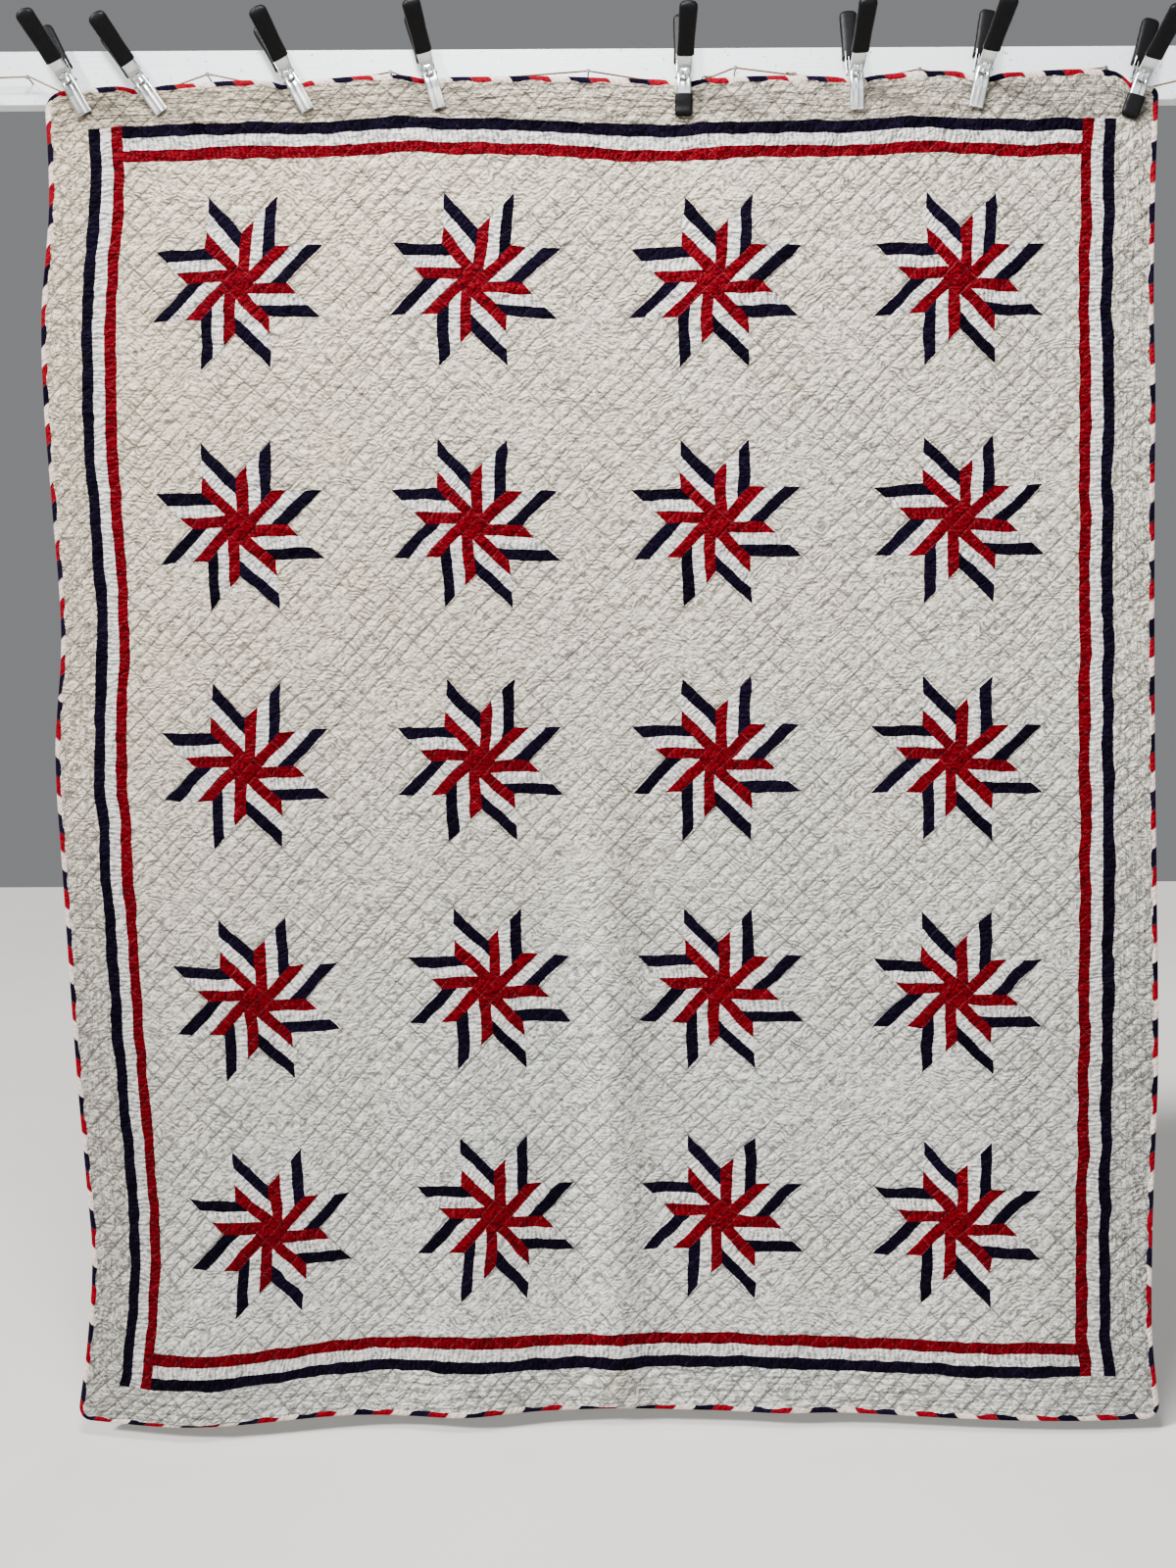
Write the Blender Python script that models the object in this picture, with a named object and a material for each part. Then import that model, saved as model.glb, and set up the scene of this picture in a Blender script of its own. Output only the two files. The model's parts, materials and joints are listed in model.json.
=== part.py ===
"""A star quilt clipped to jute twine with eight spring clamps, under a painted board.

Metres, +Z up. X runs along the board, the quilt faces -Y, and the origin is the
middle of the board's back face, where it is screwed to a wall.
"""
import math
from collections import namedtuple

import bmesh
import bpy
from mathutils import Matrix, Vector

# The quilt as it was cut and sewn flat
BLOCK_PITCH = 0.393
BLOCKS_ACROSS = 4
BLOCKS_DOWN = 5
CELLS_PER_BLOCK = 14
CELL = BLOCK_PITCH / CELLS_PER_BLOCK
STRIPE_WIDTH = 0.019
STRIPE_COUNT = 3
OUTER_BORDER = 0.068
BINDING_WIDTH = 0.0095
BORDER = STRIPE_COUNT * STRIPE_WIDTH + OUTER_BORDER
WIDTH = BLOCKS_ACROSS * BLOCK_PITCH + 2 * BORDER
HEIGHT = BLOCKS_DOWN * BLOCK_PITCH + 2 * BORDER
BORDER_CELLS = 4
CORNER_RADIUS = 0.026
CORNER_EASE = 0.002

# Thickness, measured forward from the middle of the cloth
STITCH_FORWARD = 0.0010
CROWN_FORWARD = 0.0026
BACK_BEHIND = 0.0020
FIT_GAP = 0.0003

# Where the cloth hangs
CLOTH_Y = -0.052
ROW_SETTLE = 0.08
ROW_SETTLE_TURN = 0.75
MIDDLE_DRIFT = 0.022
SWAG_PER_GAP = 0.022
SWAG_FADE = 0.25

SideEdge = namedtuple("SideEdge", "down left right")
SIDE_EDGES = (
    SideEdge(down=0.00, left=-0.905, right=0.917),
    SideEdge(down=0.17, left=-0.900, right=0.911),
    SideEdge(down=0.35, left=-0.915, right=0.909),
    SideEdge(down=0.50, left=-0.913, right=0.912),
    SideEdge(down=0.65, left=-0.903, right=0.911),
    SideEdge(down=0.88, left=-0.890, right=0.911),
    SideEdge(down=1.08, left=-0.902, right=0.912),
    SideEdge(down=1.30, left=-0.892, right=0.915),
    SideEdge(down=1.62, left=-0.874, right=0.918),
    SideEdge(down=1.82, left=-0.859, right=0.911),
    SideEdge(down=1.94, left=-0.851, right=0.908),
    SideEdge(down=2.08, left=-0.860, right=0.908),
    SideEdge(down=2.22, left=-0.879, right=0.922),
)

LevelEdge = namedtuple("LevelEdge", "across height")
TOP_EDGE = (
    LevelEdge(across=-0.911, height=-0.046),
    LevelEdge(across=-0.860, height=-0.037),
    LevelEdge(across=-0.720, height=-0.031),
    LevelEdge(across=-0.545, height=-0.026),
    LevelEdge(across=-0.340, height=-0.019),
    LevelEdge(across=-0.170, height=-0.022),
    LevelEdge(across=0.000, height=-0.027),
    LevelEdge(across=0.200, height=-0.025),
    LevelEdge(across=0.400, height=-0.023),
    LevelEdge(across=0.600, height=-0.015),
    LevelEdge(across=0.680, height=-0.019),
    LevelEdge(across=0.810, height=-0.015),
    LevelEdge(across=0.880, height=-0.020),
    LevelEdge(across=0.911, height=-0.030),
)
HEM_EDGE = (
    LevelEdge(across=-0.911, height=-2.231),
    LevelEdge(across=-0.700, height=-2.232),
    LevelEdge(across=-0.450, height=-2.230),
    LevelEdge(across=-0.350, height=-2.232),
    LevelEdge(across=-0.200, height=-2.229),
    LevelEdge(across=0.000, height=-2.229),
    LevelEdge(across=0.350, height=-2.230),
    LevelEdge(across=0.600, height=-2.234),
    LevelEdge(across=0.911, height=-2.234),
)

# Soft folds that run down the cloth, with how far each stands forward
Fold = namedtuple("Fold", "across_top across_hem half_width middle hem")
FOLDS = (
    Fold(across_top=-0.62, across_hem=-0.70, half_width=0.21, middle=0.008, hem=0.040),
    Fold(across_top=-0.28, across_hem=-0.235, half_width=0.09, middle=0.006, hem=0.020),
    Fold(across_top=0.04, across_hem=0.03, half_width=0.11, middle=-0.006, hem=-0.006),
    Fold(across_top=0.26, across_hem=0.295, half_width=0.07, middle=0.002, hem=0.008),
    Fold(across_top=0.66, across_hem=0.76, half_width=0.30, middle=0.008, hem=0.030),
)
BASE_MIDDLE = -0.004
BASE_HEM = -0.016

# The spring clamps, from the tips of the jaws upwards
Clamp = namedtuple("Clamp", "tip_across tip_height lean_deg cap")
CLAMPS = (
    Clamp(tip_across=-0.836, tip_height=-0.081, lean_deg=27.0, cap=0.0),
    Clamp(tip_across=-0.711, tip_height=-0.079, lean_deg=35.0, cap=0.0),
    Clamp(tip_across=-0.473, tip_height=-0.077, lean_deg=29.0, cap=0.0),
    Clamp(tip_across=-0.259, tip_height=-0.075, lean_deg=16.0, cap=0.0),
    Clamp(tip_across=0.139, tip_height=-0.088, lean_deg=0.0, cap=0.003),
    Clamp(tip_across=0.422, tip_height=-0.081, lean_deg=3.0, cap=0.0),
    Clamp(tip_across=0.615, tip_height=-0.078, lean_deg=-10.0, cap=0.0),
    Clamp(tip_across=0.866, tip_height=-0.093, lean_deg=-15.6, cap=0.003),
)
PIVOT_HEIGHT = 0.062
SPRING_RADIUS = 0.008
SPRING_HALF_LENGTH = 0.008
SPRING_SIDES = 10
THROAT = 0.011
HANDLE_LENGTH = 0.116
FRONT_HANDLE_DEG = 60.0
REAR_HANDLE_DEG = 2.0
STEEL_WIDTH = 0.0245
GRIP_WIDTH = 0.029
CAP_WIDTH = 0.029
CAP_LENGTH = 0.030
CAP_THICKNESS = 0.002
JAW_TIP_DEPTH = 0.0055
JAW_PAD_LENGTH = 0.010
JAW_SWELL = 0.003
JAW_BEND_INNER = 0.0075
JAW_BEND_DEPTH = 0.0075
GRIP_START = 0.036
DIP_HALF_WIDTH = 0.024
DIP_FADE = 0.045
EDGE_CLEARANCE = 0.003

# The twine and the nails that it runs over
TWINE_RADIUS = 0.0015
TWINE_Y_AT_CLAMP = -0.0462
TWINE_Y_AT_NAIL = -0.034
TWINE_STEPS = 3
TWINE_SHOULDER = 0.015
TWINE_EASE = 1 / 14
NAIL_RADIUS = 0.0014
NAIL_HEAD_RADIUS = 0.0036
NAIL_REACH = 0.021
NAIL_HEAD_THICKNESS = 0.0012
NAIL_SIDES = 6
Nail = namedtuple("Nail", "across twine_height")
NAILS = (
    Nail(across=-1.030, twine_height=-0.008),
    Nail(across=-0.938, twine_height=-0.006),
    Nail(across=-0.643, twine_height=-0.003),
    Nail(across=-0.341, twine_height=-0.001),
    Nail(across=-0.016, twine_height=-0.001),
    Nail(across=0.226, twine_height=0.003),
    Nail(across=0.529, twine_height=-0.001),
    Nail(across=0.837, twine_height=0.000),
    Nail(across=1.000, twine_height=-0.012),
)

# The board
RAIL_LENGTH = 2.10
RAIL_DEPTH = 0.019
RAIL_HEIGHT = 0.089

COLLECTION_NAME = "star_quilt_on_rail"


def clear_scene():
    """Remove what the start-up file holds."""
    for old in list(bpy.data.objects):
        bpy.data.objects.remove(old, do_unlink=True)


def plain_material(name, colour, roughness, metallic=0.0):
    """A Principled material of one colour."""
    material = bpy.data.materials.new(name)
    material.use_nodes = True
    shader = material.node_tree.nodes["Principled BSDF"]
    shader.inputs["Base Color"].default_value = (*colour, 1.0)
    shader.inputs["Roughness"].default_value = roughness
    shader.inputs["Metallic"].default_value = metallic
    material.diffuse_color = (*colour, 1.0)
    return material


def new_object(name, mesh, material, collection):
    """Put a mesh in the scene under its node's name."""
    thing = bpy.data.objects.new(name, mesh)
    mesh.materials.append(material)
    collection.objects.link(thing)
    return thing


def finish_mesh(bm, name):
    """Turn a closed bmesh's faces outwards and make it a mesh."""
    bmesh.ops.recalc_face_normals(bm, faces=bm.faces)
    mesh = bpy.data.meshes.new(name)
    bm.to_mesh(mesh)
    bm.free()
    return mesh


def smooth_value(rows, key, value, at):
    """Read a column of a table at any place, on a smooth curve through its rows."""
    places = [getattr(row, key) for row in rows]
    values = [getattr(row, value) for row in rows]
    at = min(max(at, places[0]), places[-1])
    last = len(rows) - 2
    here = next((i for i in range(last) if at <= places[i + 1]), last)

    def slope(i):
        before = max(i - 1, 0)
        after = min(i + 1, len(rows) - 1)
        return (values[after] - values[before]) / (places[after] - places[before])

    span = places[here + 1] - places[here]
    t = (at - places[here]) / span
    return (
        (2 * t**3 - 3 * t**2 + 1) * values[here]
        + (t**3 - 2 * t**2 + t) * span * slope(here)
        + (3 * t**2 - 2 * t**3) * values[here + 1]
        + (t**3 - t**2) * span * slope(here + 1)
    )


def bell(distance, half_width):
    """One at the middle, falling smoothly to nothing."""
    return math.exp(-((distance / half_width) ** 2))


def pivot_point(clamp):
    """Where a clamp's arms turn, on the middle of the cloth."""
    lean = math.radians(clamp.lean_deg)
    reach = PIVOT_HEIGHT + clamp.cap
    across = clamp.tip_across - reach * math.sin(lean)
    return Vector((across, CLOTH_Y, clamp.tip_height + reach * math.cos(lean)))


def top_dip(across):
    """How far the top edge is pushed down under the springs of the clamps."""
    total = 0.0
    for clamp in CLAMPS:
        pivot = pivot_point(clamp)
        free_height = pivot.z - SPRING_RADIUS - EDGE_CLEARANCE
        free_height -= SPRING_HALF_LENGTH * abs(math.sin(math.radians(clamp.lean_deg)))
        edge = smooth_value(TOP_EDGE, "across", "height", pivot.x)
        needed = max(edge - free_height, 0.0)
        total += needed * min(1.4 * bell(across - pivot.x, DIP_HALF_WIDTH), 1.0)
    return total


def fold_forward(across, share_down):
    """How far the folds and swags bring the cloth forward at a place."""
    middle_part = math.sin(math.pi * share_down) ** 2
    hem_part = max(share_down, 0.0) ** 2.5
    forward = BASE_MIDDLE * middle_part + BASE_HEM * hem_part
    for fold in FOLDS:
        centre = fold.across_top + (fold.across_hem - fold.across_top) * share_down
        amount = fold.middle * middle_part + fold.hem * hem_part
        forward += amount * bell(across - centre, fold.half_width)
    down = share_down * HEIGHT
    for left, right in zip(CLAMPS, CLAMPS[1:]):
        gap = right.tip_across - left.tip_across
        place = (across - left.tip_across) / gap
        if 0.0 < place < 1.0:
            swag = SWAG_PER_GAP * gap * math.sin(math.pi * place) ** 2
            forward += swag * bell(down, SWAG_FADE)
    return forward


def cloth_point(across, down, forward=0.0):
    """Map a place on the flat quilt to where it hangs."""
    share_across = across / WIDTH + 0.5
    share = down / HEIGHT
    share_down = share + ROW_SETTLE * share * (1 - share) * (ROW_SETTLE_TURN - share)
    left = smooth_value(SIDE_EDGES, "down", "left", down)
    right = smooth_value(SIDE_EDGES, "down", "right", down)
    drift = MIDDLE_DRIFT * (1 - (2 * share_across - 1) ** 2) * share_down
    x = left + (right - left) * share_across - drift
    top = smooth_value(TOP_EDGE, "across", "height", across)
    hem = smooth_value(HEM_EDGE, "across", "height", across)
    z = top + (hem - top) * share_down - top_dip(x) * bell(down, DIP_FADE)
    y = CLOTH_Y - fold_forward(across, share_down) - forward
    return Vector((x, y, z))


def lattice_places(count, half_size):
    """Cell lines of the quilting from one edge to the other, in flat sizes."""
    places = [(i - count / 2) * CELL for i in range(count + 1)]
    places[0] = -half_size
    places[-1] = half_size
    return places


COLUMNS = BLOCKS_ACROSS * CELLS_PER_BLOCK + 2 * BORDER_CELLS
ROWS = BLOCKS_DOWN * CELLS_PER_BLOCK + 2 * BORDER_CELLS
BODY_HALF_WIDTH = WIDTH / 2 - BINDING_WIDTH - FIT_GAP
BODY_HALF_HEIGHT = HEIGHT / 2 - BINDING_WIDTH - FIT_GAP
COLUMN_PLACES = lattice_places(COLUMNS, BODY_HALF_WIDTH)
ROW_PLACES = [HEIGHT / 2 + place for place in lattice_places(ROWS, BODY_HALF_HEIGHT)]


def body_place(column, row):
    """Flat place of a lattice point, with the quilt's four corners drawn in."""
    across = COLUMN_PLACES[column]
    down = ROW_PLACES[row]
    if column in (0, COLUMNS) and row in (0, ROWS):
        draw_in = (CORNER_RADIUS - BINDING_WIDTH) * (1 - math.sqrt(0.5)) + CORNER_EASE
        across -= math.copysign(draw_in, across)
        down += draw_in if row == 0 else -draw_in
    return across, down


def front_forward(column, row):
    """Low where the stitching crosses, high in the middle of each diamond."""
    if column in (0, COLUMNS) or row in (0, ROWS):
        return STITCH_FORWARD
    crossing = (column - COLUMNS // 2 + row - ROWS // 2) % 2 == 0
    return STITCH_FORWARD if crossing else CROWN_FORWARD


def front_of_quilt(bm):
    """The quilted face: a grid whose quads are split along the stitching."""
    made = bmesh.ops.create_grid(bm, x_segments=COLUMNS, y_segments=ROWS, size=0.5)
    grid = {}
    for vert in made["verts"]:
        column = round((vert.co.x + 0.5) * COLUMNS)
        row = round((0.5 - vert.co.y) * ROWS)
        grid[column, row] = vert
    for (column, row), vert in grid.items():
        across, down = body_place(column, row)
        vert.co = cloth_point(across, down, front_forward(column, row))
    for row in range(ROWS):
        for column in range(COLUMNS):
            even = (column - COLUMNS // 2 + row - ROWS // 2) % 2 == 0
            low = (grid[column, row], grid[column + 1, row + 1])
            high = (grid[column + 1, row], grid[column, row + 1])
            bmesh.ops.connect_verts(bm, verts=list(low if even else high))
    return grid


def boundary_keys(columns, rows):
    """The four sides of a lattice rectangle, each from corner to corner."""
    return (
        [(column, rows[0]) for column in columns],
        [(columns[-1], row) for row in rows],
        [(column, rows[-1]) for column in reversed(columns)],
        [(columns[0], row) for row in reversed(rows)],
    )


def zip_sides(bm, fine, coarse, place):
    """Fill between a finely and a coarsely spaced side with triangles."""
    i = 0
    j = 0
    while i < len(fine) - 1 or j < len(coarse) - 1:
        fine_left = i < len(fine) - 1
        coarse_left = j < len(coarse) - 1
        take_fine = fine_left and (
            not coarse_left or place(fine[i + 1]) <= place(coarse[j + 1])
        )
        if take_fine:
            bm.faces.new((fine[i].vert, fine[i + 1].vert, coarse[j].vert))
            i += 1
        else:
            bm.faces.new((fine[i].vert, coarse[j + 1].vert, coarse[j].vert))
            j += 1


Point = namedtuple("Point", "column row vert")
BACK_COLUMN_STEP = 2
BACK_ROW_STEP = 6


def back_of_quilt(bm, front):
    """The plain back, coarse inside and as fine as the front along its rim."""
    columns = list(range(COLUMNS + 1))
    rows = list(range(ROWS + 1))
    inner_columns = list(range(2, COLUMNS, BACK_COLUMN_STEP))
    inner_rows = list(range(3, ROWS, BACK_ROW_STEP))
    back = {}

    def back_vert(key):
        if key not in back:
            back[key] = bm.verts.new(cloth_point(*body_place(*key), -BACK_BEHIND))
        return back[key]

    for upper, lower in zip(inner_rows, inner_rows[1:]):
        for left, right in zip(inner_columns, inner_columns[1:]):
            corners = ((left, upper), (right, upper), (right, lower), (left, lower))
            bm.faces.new([back_vert(key) for key in corners])
    directions = (
        lambda point: point.column,
        lambda point: point.row,
        lambda point: -point.column,
        lambda point: -point.row,
    )
    outer_sides = boundary_keys(columns, rows)
    inner_sides = boundary_keys(inner_columns, inner_rows)
    for outer, inner, place in zip(outer_sides, inner_sides, directions):
        fine = [Point(*key, back_vert(key)) for key in outer]
        coarse = [Point(*key, back_vert(key)) for key in inner]
        zip_sides(bm, fine, coarse, place)
        for start, end in zip(outer, outer[1:]):
            bm.faces.new((front[start], front[end], back[end], back[start]))


def make_quilt(collection, material):
    """The whole pieced and quilted cloth, one solid."""
    bm = bmesh.new()
    front = front_of_quilt(bm)
    back_of_quilt(bm, front)
    bmesh.ops.triangulate(bm, faces=[face for face in bm.faces if len(face.verts) > 3])
    new_object("quilt", finish_mesh(bm, "quilt"), material, collection)


# The binding's section: share of its width outwards, and forward of the middle
BindingCorner = namedtuple("BindingCorner", "outwards forward")
BINDING_SECTION = (
    BindingCorner(outwards=0.0, forward=0.0012),
    BindingCorner(outwards=0.4, forward=0.0030),
    BindingCorner(outwards=1.0, forward=0.0008),
    BindingCorner(outwards=0.8, forward=-0.0022),
    BindingCorner(outwards=0.0, forward=-0.0020),
)
MITRE_DEG = 45.0
MITRE_GAP_DEG = 0.6
CORNER_STEP_DEG = 22.5


def loft(bm, rings):
    """Skin a row of like rings and close both ends."""
    for ring, following in zip(rings, rings[1:]):
        for i in range(len(ring)):
            after = (i + 1) % len(ring)
            bm.faces.new((ring[i], ring[after], following[after], following[i]))
    bm.faces.new(list(reversed(rings[0])))
    bm.faces.new(rings[-1])


def side_stations(places, half_along, half_across):
    """Stations of one binding strip: inner place, and which way is outwards.

    The strip is described lying along the top, with its corners rounded.
    """
    inner_radius = CORNER_RADIUS - BINDING_WIDTH
    corner_along = half_along - CORNER_RADIUS
    corner_out = half_across - CORNER_RADIUS
    turns = (MITRE_DEG - MITRE_GAP_DEG, CORNER_STEP_DEG, 0.0)
    stations = []

    def on_corner(sign, turn_deg):
        turn = math.radians(turn_deg)
        outwards = Vector((sign * math.sin(turn), math.cos(turn)))
        centre = Vector((sign * corner_along, corner_out))
        stations.append((centre + inner_radius * outwards, outwards))

    for turn in turns:
        on_corner(-1, turn)
    for place in places[1:-1]:
        stations.append((Vector((place, half_across - BINDING_WIDTH)), Vector((0, 1))))
    for turn in reversed(turns):
        on_corner(1, turn)
    return stations


def make_binding(name, stations, turn, collection, material):
    """One strip of the folded binding; turn sends the top's places to its own side."""
    bm = bmesh.new()
    rings = []
    for inner, outwards in stations:
        ring = []
        for corner in BINDING_SECTION:
            flat = turn(inner + outwards * BINDING_WIDTH * corner.outwards)
            place = cloth_point(flat.x, HEIGHT / 2 - flat.y, corner.forward)
            ring.append(bm.verts.new(place))
        rings.append(ring)
    loft(bm, rings)
    bmesh.ops.triangulate(bm, faces=bm.faces)
    new_object(name, finish_mesh(bm, name), material, collection)


def make_bindings(collection, material):
    """Four strips of binding that meet at the rounded corners."""
    level = side_stations(COLUMN_PLACES, WIDTH / 2, HEIGHT / 2)
    upright_places = [place - HEIGHT / 2 for place in ROW_PLACES]
    upright = side_stations(upright_places, HEIGHT / 2, WIDTH / 2)
    sides = (
        ("binding_top", level, lambda p: Vector((p.x, p.y))),
        ("binding_right", upright, lambda p: Vector((p.y, -p.x))),
        ("binding_bottom", level, lambda p: Vector((-p.x, -p.y))),
        ("binding_left", upright, lambda p: Vector((-p.y, p.x))),
    )
    for name, stations, turn in sides:
        make_binding(name, stations, turn, collection, material)


# A section of a clamp's arm: how high, how far its inner face stands off the cloth's
# middle, how deep it is, how wide, and how far its handle leans away
ArmSection = namedtuple("ArmSection", "height inner depth width tilt_deg", defaults=(0.0,))

# From the jaw's bend to the pivot
ARM_BODY = (
    ArmSection(height=0.040, inner=THROAT, depth=0.007, width=STEEL_WIDTH),
    ArmSection(height=0.053, inner=THROAT, depth=0.008, width=STEEL_WIDTH),
    ArmSection(height=PIVOT_HEIGHT, inner=SPRING_RADIUS + FIT_GAP, depth=0.012,
               width=STEEL_WIDTH),
)

# Along the handle: the bare shank from the pivot, then the vinyl grip
HandleSection = namedtuple("HandleSection", "along depth width")
SHANK = (
    HandleSection(along=0.018, depth=0.012, width=STEEL_WIDTH),
    HandleSection(along=GRIP_START - FIT_GAP, depth=0.013, width=STEEL_WIDTH),
)
GRIP = (
    HandleSection(along=GRIP_START, depth=0.015, width=GRIP_WIDTH),
    HandleSection(along=HANDLE_LENGTH - 0.010, depth=0.015, width=GRIP_WIDTH),
    HandleSection(along=HANDLE_LENGTH, depth=0.009, width=0.6 * GRIP_WIDTH),
)
HANDLE_OFF_SPRING = 0.002


def on_handle(rows, handle_deg, cap):
    """Place sections along a handle that leans away from the cloth."""
    slant = math.radians(handle_deg)
    placed = []
    for row in rows:
        height = PIVOT_HEIGHT + cap + row.along * math.cos(slant)
        inner = SPRING_RADIUS + HANDLE_OFF_SPRING + row.along * math.sin(slant)
        placed.append(ArmSection(height, inner, row.depth, row.width, handle_deg))
    return placed


def arm_pieces(pad, handle_deg, cap):
    """Sections of an arm's pieces: its steel, its grip, and its cap if it has one."""
    depth = JAW_TIP_DEPTH + (CAP_THICKNESS if cap else 0.0)
    width = CAP_WIDTH if cap else STEEL_WIDTH
    tip = ArmSection(0.0, pad, depth, width)
    heel = ArmSection(JAW_PAD_LENGTH, pad, depth + JAW_SWELL, width)
    bend = ArmSection(CAP_LENGTH, JAW_BEND_INNER, JAW_BEND_DEPTH, STEEL_WIDTH)
    pieces = {"grip": on_handle(GRIP, handle_deg, cap)}
    jaw = [tip, heel, bend]
    if cap:
        mouth = ArmSection(CAP_LENGTH - FIT_GAP, bend.inner, bend.depth, width)
        pieces["cap"] = [tip, heel, mouth]
        jaw = [bend]
    body = [row._replace(height=row.height + cap) for row in ARM_BODY]
    pieces["arm"] = jaw + body + on_handle(SHANK, handle_deg, cap)
    return pieces


def make_bar(name, clamp, side, sections, collection, material):
    """A piece of an arm as a plain bar; side is 1 in front of the cloth, -1 behind."""
    bm = bmesh.new()
    rings = []
    for section in sections:
        tilt = math.radians(section.tilt_deg)
        half = section.width / 2
        outer = section.inner + section.depth * math.cos(tilt)
        outer_height = section.height - section.depth * math.sin(tilt)
        ring = []
        for across, off, height in (
            (-half, section.inner, section.height),
            (half, section.inner, section.height),
            (half, outer, outer_height),
            (-half, outer, outer_height),
        ):
            ring.append(bm.verts.new((across, -side * off, height)))
        rings.append(ring)
    loft(bm, rings)
    bmesh.ops.triangulate(bm, faces=bm.faces)
    bar = new_object(name, finish_mesh(bm, name), material, collection)
    bar.location = (clamp.tip_across, CLOTH_Y, clamp.tip_height)
    bar.rotation_euler = (0.0, -math.radians(clamp.lean_deg), 0.0)


def make_spring(name, clamp, collection, material):
    """The coil at the clamp's pivot, as a drum between its arms."""
    bm = bmesh.new()
    bmesh.ops.create_cone(
        bm, cap_ends=True, segments=SPRING_SIDES, radius1=SPRING_RADIUS,
        radius2=SPRING_RADIUS, depth=2 * SPRING_HALF_LENGTH,
        matrix=Matrix.Rotation(math.pi / 2, 4, "Y"),
    )
    spring = new_object(name, finish_mesh(bm, name), material, collection)
    spring.location = pivot_point(clamp)
    spring.rotation_euler = (0.0, -math.radians(clamp.lean_deg), 0.0)


# The two arms of every clamp: which side, how far its handle leans, its jaw's face
ClampArm = namedtuple("ClampArm", "name side handle_deg pad")
CLAMP_ARMS = (
    ClampArm("front", side=1, handle_deg=FRONT_HANDLE_DEG, pad=CROWN_FORWARD + FIT_GAP),
    ClampArm("rear", side=-1, handle_deg=REAR_HANDLE_DEG, pad=BACK_BEHIND + FIT_GAP),
)


def make_clamps(collection, spring_steel, piece_materials):
    """Eight spring clamps: two steel arms each, vinyl grips and caps, and the coil."""
    for number, clamp in enumerate(CLAMPS, start=1):
        for arm in CLAMP_ARMS:
            pieces = arm_pieces(arm.pad, arm.handle_deg, clamp.cap)
            for piece, sections in pieces.items():
                name = f"clamp_{number}_{arm.name}_{piece}"
                make_bar(name, clamp, arm.side, sections, collection,
                         piece_materials[piece])
        make_spring(f"clamp_{number}_spring", clamp, collection, spring_steel)


def twine_route():
    """The points that the twine is pulled over: nails, and the clamps' throats."""
    points = [Vector((nail.across, TWINE_Y_AT_NAIL, nail.twine_height)) for nail in NAILS]
    behind = TWINE_Y_AT_CLAMP - CLOTH_Y
    reach = SPRING_RADIUS + TWINE_RADIUS + FIT_GAP
    for clamp in CLAMPS:
        pivot = pivot_point(clamp)
        lean = math.radians(abs(clamp.lean_deg))
        below = math.sqrt(reach**2 - behind**2) / math.cos(lean)
        below += SPRING_HALF_LENGTH * math.sin(lean)
        for along in (-TWINE_SHOULDER, TWINE_SHOULDER):
            points.append(Vector((pivot.x + along, TWINE_Y_AT_CLAMP, pivot.z - below)))
    return sorted(points, key=lambda point: point.x)


def eased_route(points, steps):
    """Points along a taut line with its bends at the supports rounded off."""
    eased = [points[0]]
    for before, after in zip(points, points[1:]):
        for i in range(1, steps + 1):
            t = i / steps
            share = t - math.sin(2 * math.pi * t) * TWINE_EASE
            eased.append(before.lerp(after, share))
    return eased


def make_twine(collection, material):
    """The jute twine as one tube."""
    curve = bpy.data.curves.new("twine", "CURVE")
    curve.dimensions = "3D"
    curve.bevel_depth = TWINE_RADIUS
    curve.bevel_resolution = 2
    curve.use_fill_caps = True
    curve.render_resolution_u = 0
    route = eased_route(twine_route(), TWINE_STEPS)
    spline = curve.splines.new("POLY")
    spline.points.add(len(route) - 1)
    for point, place in zip(spline.points, route):
        point.co = (*place, 1.0)
    new_object("twine", curve, material, collection)


def nail_place(nail, route):
    """The middle of a nail, across and up, in the bend of twine that it holds up."""
    here = min(range(len(route)), key=lambda i: abs(route[i].x - nail.across))
    reach = TWINE_RADIUS + NAIL_RADIUS + FIT_GAP
    inwards = Vector((0, -1))
    half_bend_sine = 1.0
    if 0 < here < len(route) - 1:
        left = (route[here - 1] - route[here]).xz.normalized()
        right = (route[here + 1] - route[here]).xz.normalized()
        inwards = (left + right).normalized()
        half_bend_sine = math.sqrt((1 - left.dot(right)) / 2)
    return route[here].xz + inwards * reach / half_bend_sine


def make_nail(name, place, collection, material):
    """A round nail whose shank stands out of the board, under the twine."""
    neck = NAIL_REACH - NAIL_HEAD_THICKNESS
    profile = (
        (0.0, 0.0),
        (NAIL_RADIUS, 0.0),
        (NAIL_RADIUS, neck),
        (NAIL_HEAD_RADIUS, neck),
        (NAIL_HEAD_RADIUS, NAIL_REACH),
        (0.0, NAIL_REACH),
    )
    bm = bmesh.new()
    verts = [bm.verts.new((radius, 0.0, height)) for radius, height in profile]
    edges = [bm.edges.new(pair) for pair in zip(verts, verts[1:])]
    bmesh.ops.spin(
        bm, geom=verts + edges, cent=(0, 0, 0), axis=(0, 0, 1),
        angle=2 * math.pi, steps=NAIL_SIDES, use_merge=True,
    )
    bmesh.ops.remove_doubles(bm, verts=bm.verts, dist=0.00001)
    pin = new_object(name, finish_mesh(bm, name), material, collection)
    pin.location = (place.x, -RAIL_DEPTH - FIT_GAP, place.y)
    pin.rotation_euler = (math.pi / 2, 0.0, 0.0)


def make_nails(collection, material):
    """Nine nails along the board."""
    route = twine_route()
    for number, nail in enumerate(NAILS, start=1):
        make_nail(f"nail_{number}", nail_place(nail, route), collection, material)


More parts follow.
